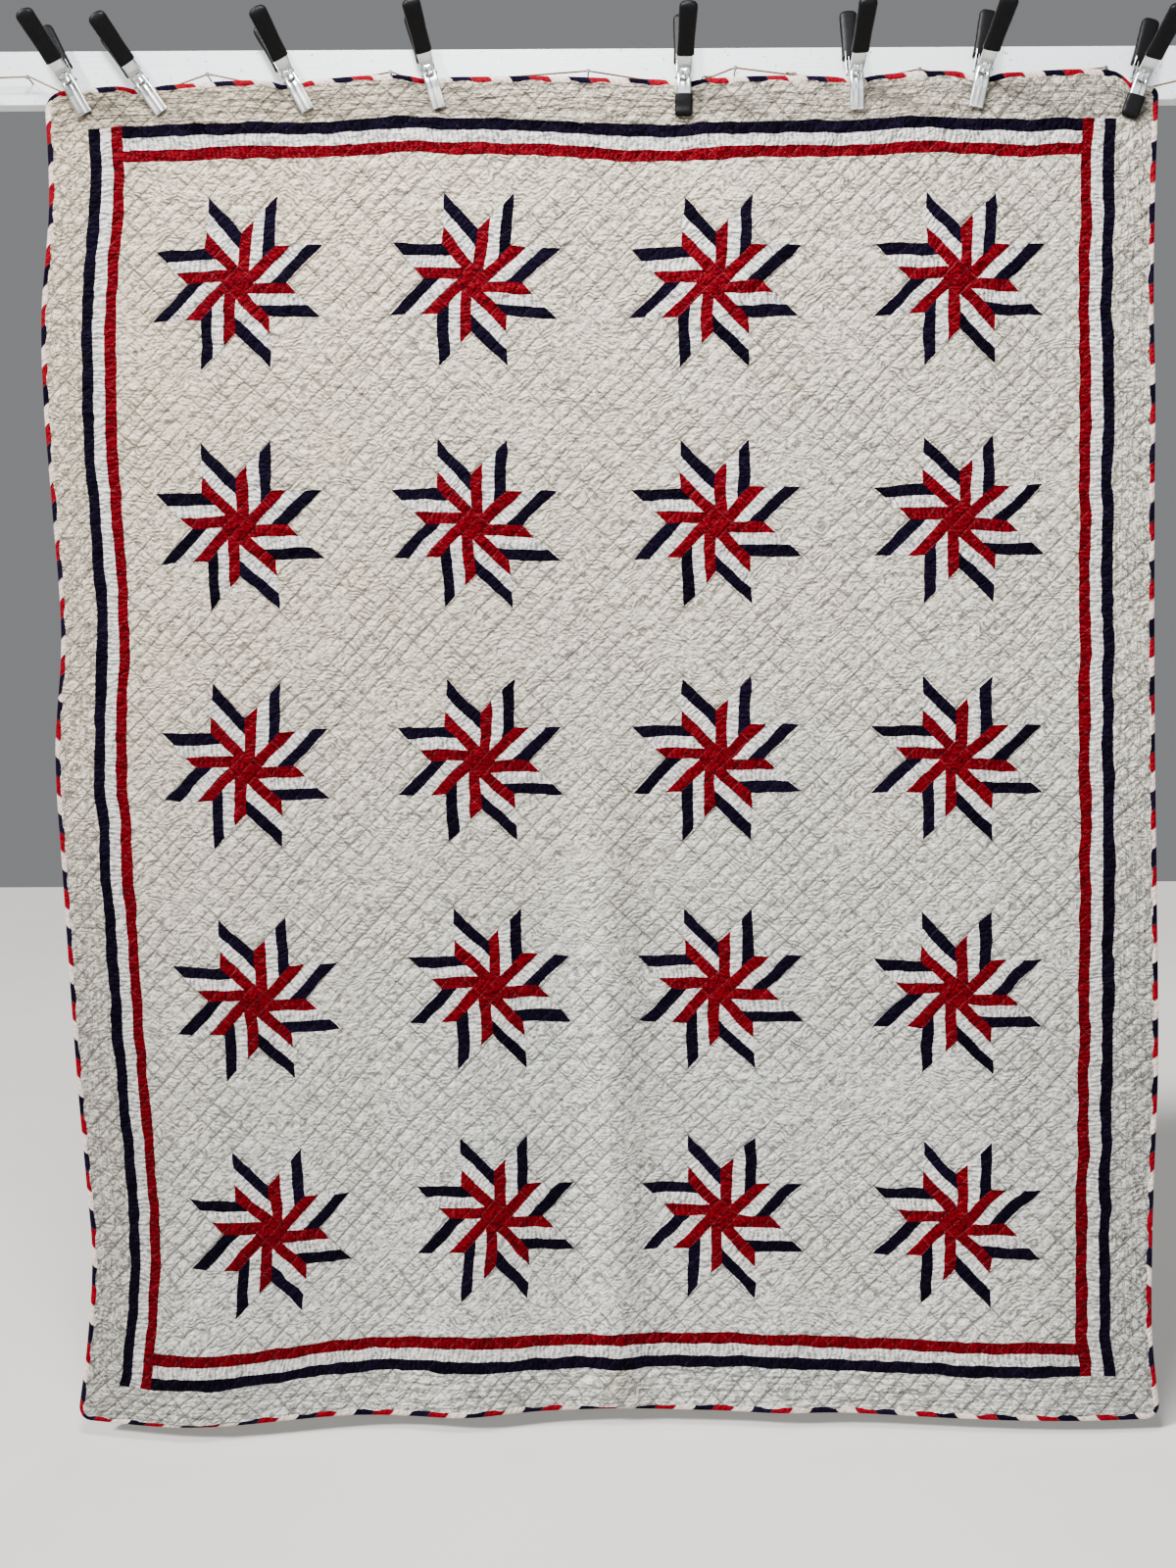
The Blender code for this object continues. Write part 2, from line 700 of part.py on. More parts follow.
def make_rail(collection, material):
    """The board behind the twine, its back face on the wall."""
    bm = bmesh.new()
    bmesh.ops.create_cube(bm, size=1.0)
    bmesh.ops.scale(bm, vec=(RAIL_LENGTH, RAIL_DEPTH, RAIL_HEIGHT), verts=bm.verts)
    rail = new_object("rail", finish_mesh(bm, "rail"), material, collection)
    rail.location = (0.0, -RAIL_DEPTH / 2, 0.0)


def main():
    """Build every piece."""
    clear_scene()
    collection = bpy.data.collections.new(COLLECTION_NAME)
    bpy.context.scene.collection.children.link(collection)
    cloth = plain_material("quilted_cotton", (0.74, 0.70, 0.61), 0.85)
    binding = plain_material("binding_cotton", (0.45, 0.02, 0.04), 0.85)
    steel = plain_material("zinc_plated_steel", (0.62, 0.64, 0.65), 0.35, 1.0)
    spring_steel = plain_material("spring_steel", (0.35, 0.35, 0.36), 0.40, 1.0)
    vinyl = plain_material("black_vinyl", (0.02, 0.02, 0.02), 0.45)
    jute = plain_material("jute", (0.38, 0.22, 0.10), 0.95)
    nail_steel = plain_material("nail_steel", (0.50, 0.50, 0.50), 0.45, 1.0)
    paint = plain_material("white_paint", (0.80, 0.80, 0.78), 0.50)
    make_quilt(collection, cloth)
    make_bindings(collection, binding)
    make_clamps(collection, spring_steel, {"arm": steel, "grip": vinyl, "cap": vinyl})
    make_twine(collection, jute)
    make_nails(collection, nail_steel)
    make_rail(collection, paint)


main()
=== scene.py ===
# %% [markdown]
# A star quilt hangs by its top edge from jute twine. Eight spring clamps grip it, and
# the twine runs over nails in a painted board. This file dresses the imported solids,
# which are the frame: every new piece is made in the frame's own metres, so nothing
# is fitted to anything afterwards. X runs along the board, the quilt faces -Y.

# %% Load the frame
import json
import math
import random
from collections import namedtuple

import bmesh
import bpy
import numpy as np
from mathutils import Matrix, Vector, noise

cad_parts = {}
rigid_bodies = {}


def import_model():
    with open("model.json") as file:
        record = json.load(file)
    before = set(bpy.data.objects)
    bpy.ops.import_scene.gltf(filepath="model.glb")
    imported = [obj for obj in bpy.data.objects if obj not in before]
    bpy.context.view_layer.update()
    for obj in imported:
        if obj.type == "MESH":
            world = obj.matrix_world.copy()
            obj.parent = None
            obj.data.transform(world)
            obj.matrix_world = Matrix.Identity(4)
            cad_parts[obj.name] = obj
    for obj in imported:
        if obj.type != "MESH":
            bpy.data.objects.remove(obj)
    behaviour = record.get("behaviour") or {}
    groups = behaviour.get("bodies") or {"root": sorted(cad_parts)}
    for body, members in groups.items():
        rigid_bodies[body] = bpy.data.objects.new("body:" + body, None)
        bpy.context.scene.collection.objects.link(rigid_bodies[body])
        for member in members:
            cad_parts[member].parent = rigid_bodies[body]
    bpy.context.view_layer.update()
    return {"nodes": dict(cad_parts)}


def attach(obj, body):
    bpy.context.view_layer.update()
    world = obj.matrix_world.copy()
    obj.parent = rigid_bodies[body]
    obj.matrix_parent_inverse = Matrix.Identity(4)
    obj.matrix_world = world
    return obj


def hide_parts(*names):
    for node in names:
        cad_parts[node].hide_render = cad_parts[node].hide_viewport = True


for old in list(bpy.data.objects):
    bpy.data.objects.remove(old, do_unlink=True)
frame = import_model()
BODY = "root"
print("nodes in the frame:", len(frame["nodes"]))

# %% [markdown]
# The camera stands straight in front of the quilt, at half its height, about two
# metres away. It looks a touch downwards and is turned by a third of a degree, which
# is what a camera in the hand does. The lens is stated through a picture 1600 pixels
# high, because Blender's sensor width belongs to the longer side.

# %% Camera
PICTURE_HEIGHT_PX = 1600
FOCAL_LENGTH_PX = 1202
SENSOR_MM = 36.0
CAMERA_PLACE = Vector((-0.0226, -1.996, -1.1462))
CAMERA_DOWN_DEG = 0.92
CAMERA_ROLL_DEG = -0.3

camera_data = bpy.data.cameras.new("camera")
camera_data.sensor_width = SENSOR_MM
camera_data.lens = FOCAL_LENGTH_PX / PICTURE_HEIGHT_PX * SENSOR_MM
camera = bpy.data.objects.new("camera", camera_data)
bpy.context.scene.collection.objects.link(camera)
camera.matrix_world = (
    Matrix.Translation(CAMERA_PLACE)
    @ Matrix.Rotation(math.radians(90 - CAMERA_DOWN_DEG), 4, "X")
    @ Matrix.Rotation(math.radians(CAMERA_ROLL_DEG), 4, "Z")
)
bpy.context.scene.camera = camera
print("lens, mm:", round(camera_data.lens, 2))

# %% [markdown]
# A finished look is shader maths, and long chains of nodes are hard to read. The
# class below wraps a socket, so that a line such as 1 - mask * 2 adds the Math nodes
# by itself. The class after it holds one material and makes every other node.

# %% Shader maths
class Field:
    """A value that varies over a surface; Python's operators add Math nodes."""

    def __init__(self, finish, socket):
        self.finish = finish
        self.socket = socket

    def math(self, operation, *values):
        return self.finish.node("Math", dict(enumerate(values)), operation=operation)

    def __add__(self, other):
        return self.math("ADD", self, other)

    __radd__ = __add__

    def __mul__(self, other):
        return self.math("MULTIPLY", self, other)

    __rmul__ = __mul__

    def __sub__(self, other):
        return self.math("SUBTRACT", self, other)

    def __rsub__(self, other):
        return self.math("SUBTRACT", other, self)

    def __truediv__(self, other):
        return self.math("DIVIDE", self, other)

    def __pow__(self, other):
        return self.math("POWER", self, other)

    def __mod__(self, other):
        return self.math("FLOORED_MODULO", self, other)

    def __lt__(self, other):
        return self.math("LESS_THAN", self, other)

    def __gt__(self, other):
        return self.math("GREATER_THAN", self, other)

    def __abs__(self):
        return self.math("ABSOLUTE", self)

    def floor(self):
        return self.math("FLOOR", self)

    def sine(self):
        return self.math("SINE", self)

    def cosine(self):
        return self.math("COSINE", self)

    def smaller(self, other):
        return self.math("MINIMUM", self, other)

    def larger(self, other):
        return self.math("MAXIMUM", self, other)


# %% A material and the one method that makes its nodes
class Finish:
    """One Principled material."""

    def __init__(self, name, **constants):
        self.material = bpy.data.materials.new(name)
        self.material.use_nodes = True
        self.tree = self.material.node_tree
        self.shader = self.tree.nodes["Principled BSDF"]
        for key, value in constants.items():
            self.shader.inputs[key.replace("_", " ")].default_value = value

    def node(self, kind, values=None, output=0, **settings):
        """Add a node: its settings first, then its sockets."""
        made = self.tree.nodes.new("ShaderNode" + kind)
        for name, value in settings.items():
            setattr(made, name, value)
        for key, value in (values or {}).items():
            if isinstance(value, Field):
                self.tree.links.new(value.socket, made.inputs[key])
            else:
                made.inputs[key].default_value = value
        return Field(self, made.outputs[output])

    def here(self):
        """Object coordinates, which are metres in the frame."""
        return self.node("TexCoord", output="Object")

    def kept(self, name):
        """A vector that a piece's vertices carry."""
        return self.node("Attribute", output="Vector", attribute_name=name)

    def part(self, place, axis):
        """One number of a vector: its X, Y or Z."""
        return self.node("SeparateXYZ", {0: place}, output=axis)

    def between(self, value, low, high, least=0.0, most=1.0):
        """Send the values from low to high onto least to most, and hold the rest."""
        return self.node("MapRange", {"Value": value, 1: low, 2: high, 3: least, 4: most})

    def mix(self, factor, first, second):
        """Blend two colours."""
        colours = [c if isinstance(c, Field) else (*c, 1.0) for c in (first, second)]
        return self.node("Mix", {0: factor, 6: colours[0], 7: colours[1]}, output=2,
                         data_type="RGBA")

    def darkened(self, colour, light):
        """Multiply a colour by a grey field."""
        return self.node("Mix", {0: 1.0, 6: colour, 7: light}, output=2,
                         data_type="RGBA", blend_type="MULTIPLY")

    def shifted(self, place, scale, size):
        """The same place, pushed a little to and fro by noise."""
        push = self.noise(place, scale, detail=3, output="Color")
        push = self.node("VectorMath", {0: push, 1: (0.5, 0.5, 0.5)},
                         operation="SUBTRACT")
        push = self.node("VectorMath", {0: push, "Scale": size}, operation="SCALE")
        return self.node("VectorMath", {0: place, 1: push}, operation="ADD")

    def noise(self, place, scale, detail=2.0, roughness=0.5, output=0):
        """Noise of a given scale; its value lies round one half."""
        sockets = {"Vector": place, "Scale": scale, "Detail": detail,
                   "Roughness": roughness}
        return self.node("TexNoise", sockets, output=output)

    def stretched(self, place, sizes, turn_deg=0.0):
        """The same place, turned and then scaled, for a pattern with a grain."""
        turned = (0.0, 0.0, math.radians(turn_deg))
        return self.node("Mapping", {"Vector": place, "Rotation": turned, "Scale": sizes})

    def use(self, **fields):
        """Link fields to the shader's own sockets, and heights through a Bump node."""
        for key, field in fields.items():
            name = key.replace("_", " ")
            if name == "Height":
                field = self.node("Bump", {"Height": field, "Distance": 1.0})
                name = "Normal"
            self.tree.links.new(field.socket, self.shader.inputs[name])
        return self.material


def bell(field, width):
    """One where a field is nought, falling smoothly to nothing over that width."""
    scaled = field / width
    falling = scaled * scaled * -1.0
    return falling.math("EXPONENT", falling)


print("shader helpers ready")

# %% [markdown]
# The quilt was cut and sewn flat, so its pattern is laid out flat too: a place on it
# is how far across from the middle and how far down from the top edge. The hanging
# cloth is that flat sheet bent by a few tables: where its sides, top and hem hang, and
# which soft folds run down it. A cloth simulation would drift from these measured
# edges; a mapping holds them, and the star patches then follow the folds by themselves.

# %% Sizes of the quilt when flat
BLOCK_PITCH = 0.393
BLOCKS_ACROSS = 4
BLOCKS_DOWN = 5
CELL = BLOCK_PITCH / 14
STRIPE = 0.019
OUTER_BORDER = 0.068
BINDING_WIDTH = 0.0095
FIELD_HALF_WIDTH = BLOCKS_ACROSS * BLOCK_PITCH / 2
FIELD_HALF_HEIGHT = BLOCKS_DOWN * BLOCK_PITCH / 2
WIDTH = 2 * (FIELD_HALF_WIDTH + 3 * STRIPE + OUTER_BORDER)
HEIGHT = 2 * (FIELD_HALF_HEIGHT + 3 * STRIPE + OUTER_BORDER)
CORNER_RADIUS = 0.026
STITCH_FORWARD = 0.0010
CROWN_FORWARD = 0.0026
BACK_BEHIND = 0.0020
CLOTH_Y = -0.052
print("flat size, m:", round(WIDTH, 3), "by", round(HEIGHT, 3))

# %% Where the edges hang
SideEdge = namedtuple("SideEdge", "down left right")
SIDE_EDGES = (
    SideEdge(down=0.00, left=-0.905, right=0.917),
    SideEdge(down=0.17, left=-0.900, right=0.911),
    SideEdge(down=0.35, left=-0.915, right=0.909),
    SideEdge(down=0.50, left=-0.913, right=0.912),
    SideEdge(down=0.65, left=-0.903, right=0.911),
    SideEdge(down=0.88, left=-0.890, right=0.911),
    SideEdge(down=1.08, left=-0.902, right=0.912),
    SideEdge(down=1.30, left=-0.892, right=0.915),
    SideEdge(down=1.62, left=-0.874, right=0.918),
    SideEdge(down=1.82, left=-0.859, right=0.911),
    SideEdge(down=1.94, left=-0.851, right=0.908),
    SideEdge(down=2.08, left=-0.860, right=0.908),
    SideEdge(down=2.22, left=-0.879, right=0.922),
)
LevelEdge = namedtuple("LevelEdge", "across height")
TOP_EDGE = (
    LevelEdge(across=-0.911, height=-0.046),
    LevelEdge(across=-0.860, height=-0.037),
    LevelEdge(across=-0.720, height=-0.031),
    LevelEdge(across=-0.545, height=-0.026),
    LevelEdge(across=-0.340, height=-0.019),
    LevelEdge(across=-0.170, height=-0.022),
    LevelEdge(across=0.000, height=-0.027),
    LevelEdge(across=0.200, height=-0.025),
    LevelEdge(across=0.400, height=-0.023),
    LevelEdge(across=0.600, height=-0.015),
    LevelEdge(across=0.680, height=-0.019),
    LevelEdge(across=0.810, height=-0.015),
    LevelEdge(across=0.880, height=-0.020),
    LevelEdge(across=0.911, height=-0.030),
)
HEM_EDGE = (
    LevelEdge(across=-0.911, height=-2.231),
    LevelEdge(across=-0.700, height=-2.232),
    LevelEdge(across=-0.450, height=-2.230),
    LevelEdge(across=-0.350, height=-2.232),
    LevelEdge(across=-0.200, height=-2.229),
    LevelEdge(across=0.000, height=-2.229),
    LevelEdge(across=0.350, height=-2.230),
    LevelEdge(across=0.600, height=-2.234),
    LevelEdge(across=0.911, height=-2.234),
)

# %% The folds and the clamps
Fold = namedtuple("Fold", "across_top across_hem half_width middle hem")
FOLDS = (
    Fold(across_top=-0.62, across_hem=-0.70, half_width=0.21, middle=0.008, hem=0.040),
    Fold(across_top=-0.28, across_hem=-0.235, half_width=0.09, middle=0.006, hem=0.020),
    Fold(across_top=0.04, across_hem=0.03, half_width=0.11, middle=-0.006, hem=-0.006),
    Fold(across_top=0.26, across_hem=0.295, half_width=0.07, middle=0.002, hem=0.008),
    Fold(across_top=0.66, across_hem=0.76, half_width=0.30, middle=0.008, hem=0.030),
)
BASE_MIDDLE = -0.004
BASE_HEM = -0.016
Clamp = namedtuple("Clamp", "tip_across tip_height lean_deg cap")
CLAMPS = (
    Clamp(tip_across=-0.836, tip_height=-0.081, lean_deg=27.0, cap=0.0),
    Clamp(tip_across=-0.711, tip_height=-0.079, lean_deg=35.0, cap=0.0),
    Clamp(tip_across=-0.473, tip_height=-0.077, lean_deg=29.0, cap=0.0),
    Clamp(tip_across=-0.259, tip_height=-0.075, lean_deg=16.0, cap=0.0),
    Clamp(tip_across=0.139, tip_height=-0.088, lean_deg=0.0, cap=0.003),
    Clamp(tip_across=0.422, tip_height=-0.081, lean_deg=3.0, cap=0.0),
    Clamp(tip_across=0.615, tip_height=-0.078, lean_deg=-10.0, cap=0.0),
    Clamp(tip_across=0.866, tip_height=-0.093, lean_deg=-15.6, cap=0.003),
)
PIVOT_HEIGHT = 0.062
SPRING_RADIUS = 0.008
SPRING_HALF_LENGTH = 0.008
COIL_RADIUS = 0.0052
COIL_HALF_LENGTH = 0.0062


def pivot_point(clamp):
    """Where a clamp's arms turn, on the middle of the cloth."""
    lean = math.radians(clamp.lean_deg)
    reach = PIVOT_HEIGHT + clamp.cap
    across = clamp.tip_across - reach * math.sin(lean)
    return Vector((across, CLOTH_Y, clamp.tip_height + reach * math.cos(lean)))


print("pivots across, m:", [round(pivot_point(clamp).x, 3) for clamp in CLAMPS])


# %% Bend the flat quilt to where it hangs
ROW_SETTLE = 0.08
ROW_SETTLE_TURN = 0.75
MIDDLE_DRIFT = 0.022
SWAG_PER_GAP = 0.022
SWAG_FADE = 0.25
DIP_HALF_WIDTH = 0.024
DIP_FADE = 0.045
EDGE_CLEARANCE = 0.0012
MM = 0.001
DRIFT_REACH = 0.19
BLOCK_DRIFT_MM = (
    ((-1, -6), (6, -4), (4, -4), (-6, 0)),
    ((11, -4), (15, 0), (5, -6), (-1, -3)),
    ((-3, 7), (0, 2), (2, -2), (2, 3)),
    ((-3, 9), (-4, -7), (5, -3), (9, 7)),
    ((-6, 8), (-1, -11), (4, -9), (4, -4)),
)
Drift = namedtuple("Drift", "across up right_mm high_mm")
BORDER_DRIFT = (
    Drift(across=-0.815, up=0.40, right_mm=6, high_mm=0),
    Drift(across=-0.815, up=0.26, right_mm=6, high_mm=0),
    Drift(across=-0.815, up=-0.70, right_mm=-6, high_mm=0),
    Drift(across=-0.815, up=-0.90, right_mm=-4, high_mm=0),
    Drift(across=0.815, up=-0.52, right_mm=7, high_mm=0),
    Drift(across=0.815, up=-0.82, right_mm=6, high_mm=0),
    Drift(across=-0.78, up=1.01, right_mm=0, high_mm=-4),
    Drift(across=-0.26, up=1.01, right_mm=0, high_mm=-5),
    Drift(across=0.06, up=1.01, right_mm=0, high_mm=5),
    Drift(across=0.79, up=1.01, right_mm=0, high_mm=8),
    Drift(across=-0.77, up=-1.01, right_mm=0, high_mm=13),
    Drift(across=-0.39, up=-1.01, right_mm=0, high_mm=-7),
    Drift(across=0.25, up=-1.01, right_mm=0, high_mm=-7),
    Drift(across=0.79, up=-1.01, right_mm=0, high_mm=-4),
)


def table_curve(rows, value, at):
    """Read a table's column at many places, on a smooth curve through its rows."""
    places = np.array([row[0] for row in rows])
    values = np.array([getattr(row, value) for row in rows])
    after = np.minimum(np.arange(len(rows)) + 1, len(rows) - 1)
    before = np.maximum(np.arange(len(rows)) - 1, 0)
    slopes = (values[after] - values[before]) / (places[after] - places[before])
    at = np.clip(at, places[0], places[-1])
    here = np.clip(np.searchsorted(places, at) - 1, 0, len(rows) - 2)
    span = places[here + 1] - places[here]
    t = (at - places[here]) / span
    return (
        (2 * t**3 - 3 * t**2 + 1) * values[here]
        + (t**3 - 2 * t**2 + t) * span * slopes[here]
        + (3 * t**2 - 2 * t**3) * values[here + 1]
        + (t**3 - t**2) * span * slopes[here + 1]
    )


def hump(distance, half_width):
    """One at the middle, falling smoothly to nothing."""
    return np.exp(-((distance / half_width) ** 2))


def top_dip(x):
    """How far the top edge is pushed down under the springs of the clamps."""
    total = np.zeros_like(x)
    for clamp in CLAMPS:
        pivot = pivot_point(clamp)
        free_height = pivot.z - COIL_RADIUS - EDGE_CLEARANCE
        free_height -= COIL_HALF_LENGTH * abs(math.sin(math.radians(clamp.lean_deg)))
        needed = max(float(table_curve(TOP_EDGE, "height", pivot.x)) - free_height, 0.0)
        total += needed * np.minimum(1.4 * hump(x - pivot.x, DIP_HALF_WIDTH), 1.0)
    return total


def fold_forward(across, share_down):
    """How far the folds and swags bring the cloth forward."""
    middle_part = np.sin(math.pi * share_down) ** 2
    hem_part = np.maximum(share_down, 0.0) ** 2.5
    forward = BASE_MIDDLE * middle_part + BASE_HEM * hem_part
    for fold in FOLDS:
        centre = fold.across_top + (fold.across_hem - fold.across_top) * share_down
        amount = fold.middle * middle_part + fold.hem * hem_part
        forward = forward + amount * hump(across - centre, fold.half_width)
    for left, right in zip(CLAMPS, CLAMPS[1:]):
        gap = right.tip_across - left.tip_across
        place = np.clip((across - left.tip_across) / gap, 0.0, 1.0)
        swag = SWAG_PER_GAP * gap * np.sin(math.pi * place) ** 2
        forward = forward + swag * hump(share_down * HEIGHT, SWAG_FADE)
    return forward


def block_drifts():
    """The places of the blocks and borders that were sewn or stretched out of line."""
    drifts = list(BORDER_DRIFT)
    for row, drawn in enumerate(BLOCK_DRIFT_MM):
        for column, (right_mm, high_mm) in enumerate(drawn):
            drifts.append(Drift((column - (BLOCKS_ACROSS - 1) / 2) * BLOCK_PITCH,
                                ((BLOCKS_DOWN - 1) / 2 - row) * BLOCK_PITCH,
                                right_mm, high_mm))
    return drifts


def drawn_aside(across, up):
    """How far the cloth's inside is drawn to the right and upwards; its edges stay."""
    right = np.zeros_like(across)
    high = np.zeros_like(across)
    weight = np.zeros_like(across)
    for drift in block_drifts():
        here = hump(np.hypot(across - drift.across, up - drift.up), DRIFT_REACH)
        right -= here * drift.right_mm * MM
        high -= here * drift.high_mm * MM
        weight += here
    to_edge = np.minimum(WIDTH / 2 - np.abs(across), HEIGHT / 2 - np.abs(up))
    inside = np.clip(to_edge / OUTER_BORDER, 0.0, 1.0) / np.maximum(weight, 1.0)
    return right * inside, high * inside


def hang(across, down, forward):
    """Send flat places, as arrays, to where they hang; rows of x, y and z."""
    right, high = drawn_aside(across, HEIGHT / 2 - down)
    share_across = across / WIDTH + 0.5
    share = down / HEIGHT
    share_down = share + ROW_SETTLE * share * (1 - share) * (ROW_SETTLE_TURN - share)
    left = table_curve(SIDE_EDGES, "left", down)
    right_edge = table_curve(SIDE_EDGES, "right", down)
    drift = MIDDLE_DRIFT * (1 - (2 * share_across - 1) ** 2) * share_down
    x = left + (right_edge - left) * share_across - drift + right
    top = table_curve(TOP_EDGE, "height", across)
    hem = table_curve(HEM_EDGE, "height", across)
    z = top + (hem - top) * share_down - top_dip(x) * hump(down, DIP_FADE) + high
    y = CLOTH_Y - fold_forward(across, share_down) - forward
    return np.stack([x, y, z], axis=1)


middle_of_hem = hang(np.array([0.0]), np.array([HEIGHT]), np.array([0.0]))[0]
print("middle of the hem, m:", middle_of_hem.round(3))

# %% [markdown]
# The twine is a free cord held taut, so it comes before the cloth. On the real one
# three yarns are laid round each other. A round tube with a painted twist would look
# like wire; here a curve carries a section of three lobes, and the tilt of its points
# turns that section as it runs, which is how a laid rope is made in Blender.

# %% The twine's route over nails and through the clamps
TWINE_RADIUS = 0.0015
TWINE_Y_AT_CLAMP = -0.0462
TWINE_Y_AT_NAIL = -0.034
TWINE_STEPS = 3
TWINE_SHOULDER = 0.015
TWINE_EASE = 1 / 14
FIT_GAP = 0.0003
Nail = namedtuple("Nail", "across twine_height")
NAILS = (
    Nail(across=-1.030, twine_height=-0.008),
    Nail(across=-0.938, twine_height=-0.006),
    Nail(across=-0.643, twine_height=-0.003),
    Nail(across=-0.341, twine_height=-0.001),
    Nail(across=-0.016, twine_height=-0.001),
    Nail(across=0.226, twine_height=0.003),
    Nail(across=0.529, twine_height=-0.001),
    Nail(across=0.837, twine_height=0.000),
    Nail(across=1.000, twine_height=-0.012),
)


def twine_route():
    """The points that the twine is pulled over: nails, and the clamps' throats."""
    points = [Vector((nail.across, TWINE_Y_AT_NAIL, nail.twine_height)) for nail in NAILS]
    behind = TWINE_Y_AT_CLAMP - CLOTH_Y
    reach = SPRING_RADIUS + TWINE_RADIUS + FIT_GAP
    for clamp in CLAMPS:
        pivot = pivot_point(clamp)
        lean = math.radians(abs(clamp.lean_deg))
        below = math.sqrt(reach**2 - behind**2) / math.cos(lean)
        below += SPRING_HALF_LENGTH * math.sin(lean)
        for along in (-TWINE_SHOULDER, TWINE_SHOULDER):
            points.append(Vector((pivot.x + along, TWINE_Y_AT_CLAMP, pivot.z - below)))
    return sorted(points, key=lambda point: point.x)


def eased_route(points, steps):
    """Points along a taut line with its bends at the supports rounded off."""
    eased = [points[0]]
    for before, after in zip(points, points[1:]):
        for i in range(1, steps + 1):
            t = i / steps
            share = t - math.sin(2 * math.pi * t) * TWINE_EASE
            eased.append(before.lerp(after, share))
    return eased


route = eased_route(twine_route(), TWINE_STEPS)
print("points on the twine's route:", len(route))


# %% Walk along the route in even steps
def even_steps(points, step):
    """The same line again, with points a step apart."""
    corners = np.array([tuple(point) for point in points])
    lengths = np.linalg.norm(np.diff(corners, axis=0), axis=1)
    along = np.concatenate([[0.0], np.cumsum(lengths)])
    at = np.linspace(0.0, along[-1], round(along[-1] / step) + 1)
    return np.stack([np.interp(at, along, corners[:, i]) for i in range(3)], axis=1)


TWINE_STEP = 0.0025
twine_line = even_steps(route, TWINE_STEP)


# %% Put a finished mesh in the scene
def add_piece(name, mesh, material, nodes=(), smooth=True):
    """Make an object of a mesh; it rides on the body and stands for its CAD nodes."""
    mesh.materials.clear()
    mesh.materials.append(material)
    mesh.polygons.foreach_set("use_smooth", [smooth] * len(mesh.polygons))
    made = bpy.data.objects.new(name, mesh)
    bpy.context.scene.collection.objects.link(made)
    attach(made, BODY)
    if nodes:
        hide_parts(*nodes)
    return made


def mesh_of(bm, name):
    """Close a bmesh and hand back its mesh."""
    mesh = bpy.data.meshes.new(name)
    bm.to_mesh(mesh)
    bm.free()
    return mesh


# %% Jute, as three laid yarns
TWIST_PITCH = 0.0085
LOBE_RADIUS = 0.00082
LOBE_OFFSET = 0.00068
SECTION_POINTS = 12
LAY_STEP = 0.0011
jute = Finish("jute", Roughness=0.95)
jute_place = jute.here()
jute_fibres = jute.noise(jute.stretched(jute_place, (400, 2200, 2200)), 1.0, detail=3)
jute_patches = jute.noise(jute_place, 35.0)
jute_colour = jute.mix(jute_fibres, (0.045, 0.022, 0.009), (0.185, 0.102, 0.045))
jute_colour = jute.mix(jute_patches, jute_colour, (0.22, 0.125, 0.055))
jute.use(Base_Color=jute_colour, Height=jute_fibres * 0.0003)


def three_lobes():
    """The section of a laid twine: the outline of three yarns side by side."""
    curve = bpy.data.curves.new("twine_section", "CURVE")
    curve.dimensions = "2D"
    spline = curve.splines.new("POLY")
    spline.points.add(SECTION_POINTS - 1)
    for i, point in enumerate(spline.points):
        angle = 2 * math.pi * i / SECTION_POINTS
        off_lobe = (angle + math.pi / 3) % (2 * math.pi / 3) - math.pi / 3
        reach = LOBE_OFFSET * math.cos(off_lobe)
        reach += math.sqrt(LOBE_RADIUS**2 - (LOBE_OFFSET * math.sin(off_lobe)) ** 2)
        point.co = (reach * math.cos(angle), reach * math.sin(angle), 0.0, 1.0)
    spline.use_cyclic_u = True
    return bpy.data.objects.new("twine_section", curve)


def curve_mesh(curve, *helpers):
    """The mesh of a curve; the curve and what helped to shape it are taken away."""
    holder = bpy.data.objects.new(curve.name, curve)
    bpy.context.scene.collection.objects.link(holder)
    evaluated = holder.evaluated_get(bpy.context.evaluated_depsgraph_get())
    mesh = bpy.data.meshes.new_from_object(evaluated)
    for used in (holder, *helpers):
        bpy.data.objects.remove(used, do_unlink=True)
    return mesh


def line_curve(name, points):
    """A curve of one open spline through points."""
    curve = bpy.data.curves.new(name, "CURVE")
    curve.dimensions = "3D"
    curve.use_fill_caps = True
    spline = curve.splines.new("POLY")
    spline.points.add(len(points) - 1)
    for point, place in zip(spline.points, points):
        point.co = (*place, 1.0)
    return curve


def laid_twine(name, path):
    """A mesh of twine that follows points, its three yarns round each other."""
    points = even_steps(path, LAY_STEP)
    curve = line_curve(name, points)
    section = three_lobes()
    curve.bevel_mode = "OBJECT"
    curve.bevel_object = section
    curve.twist_mode = "Z_UP"
    along = 0.0
    for i, point in enumerate(curve.splines[0].points):
        if i:
            along += math.dist(points[i], points[i - 1])
        point.tilt = 2 * math.pi * along / TWIST_PITCH
    return curve_mesh(curve, section)


twine = add_piece("twine_laid", laid_twine("twine_laid", route), jute.material,
                  ["twine"])
print("faces of the twine:", len(twine.data.polygons))

# %% [markdown]
# Where the twine was joined and at its two ends there are hitches: a few tight turns
# with two short frayed tails. Each turn is a little ring of the same laid twine round
# the nail or the line, and a tail is a short length that droops. Stray hairs stand off
# jute everywhere; each is a thin sliver of three sides, so many of them cost little.

# %% Knots, tails and stray hairs
KNOT_PLACES = (0.181, 0.316)
KNOT_TURNS = 3
KNOT_STEPS = 16
LINE_KNOT_RADIUS = 0.0026
NAIL_KNOT_RADIUS = 0.0032
TAIL_LENGTH = 0.030
TAIL_STEPS = 12
TAIL_LEANS = (-0.012, 0.010)
TAIL_BOW = 0.004
HAIR_COUNT = 1500
HAIR_THICKNESS = 0.00013
HAIR_POINT = 0.00002
HAIR_LENGTHS = (0.0025, 0.0075)
HAIR_ROOT = 0.0006
chance = random.Random(7)


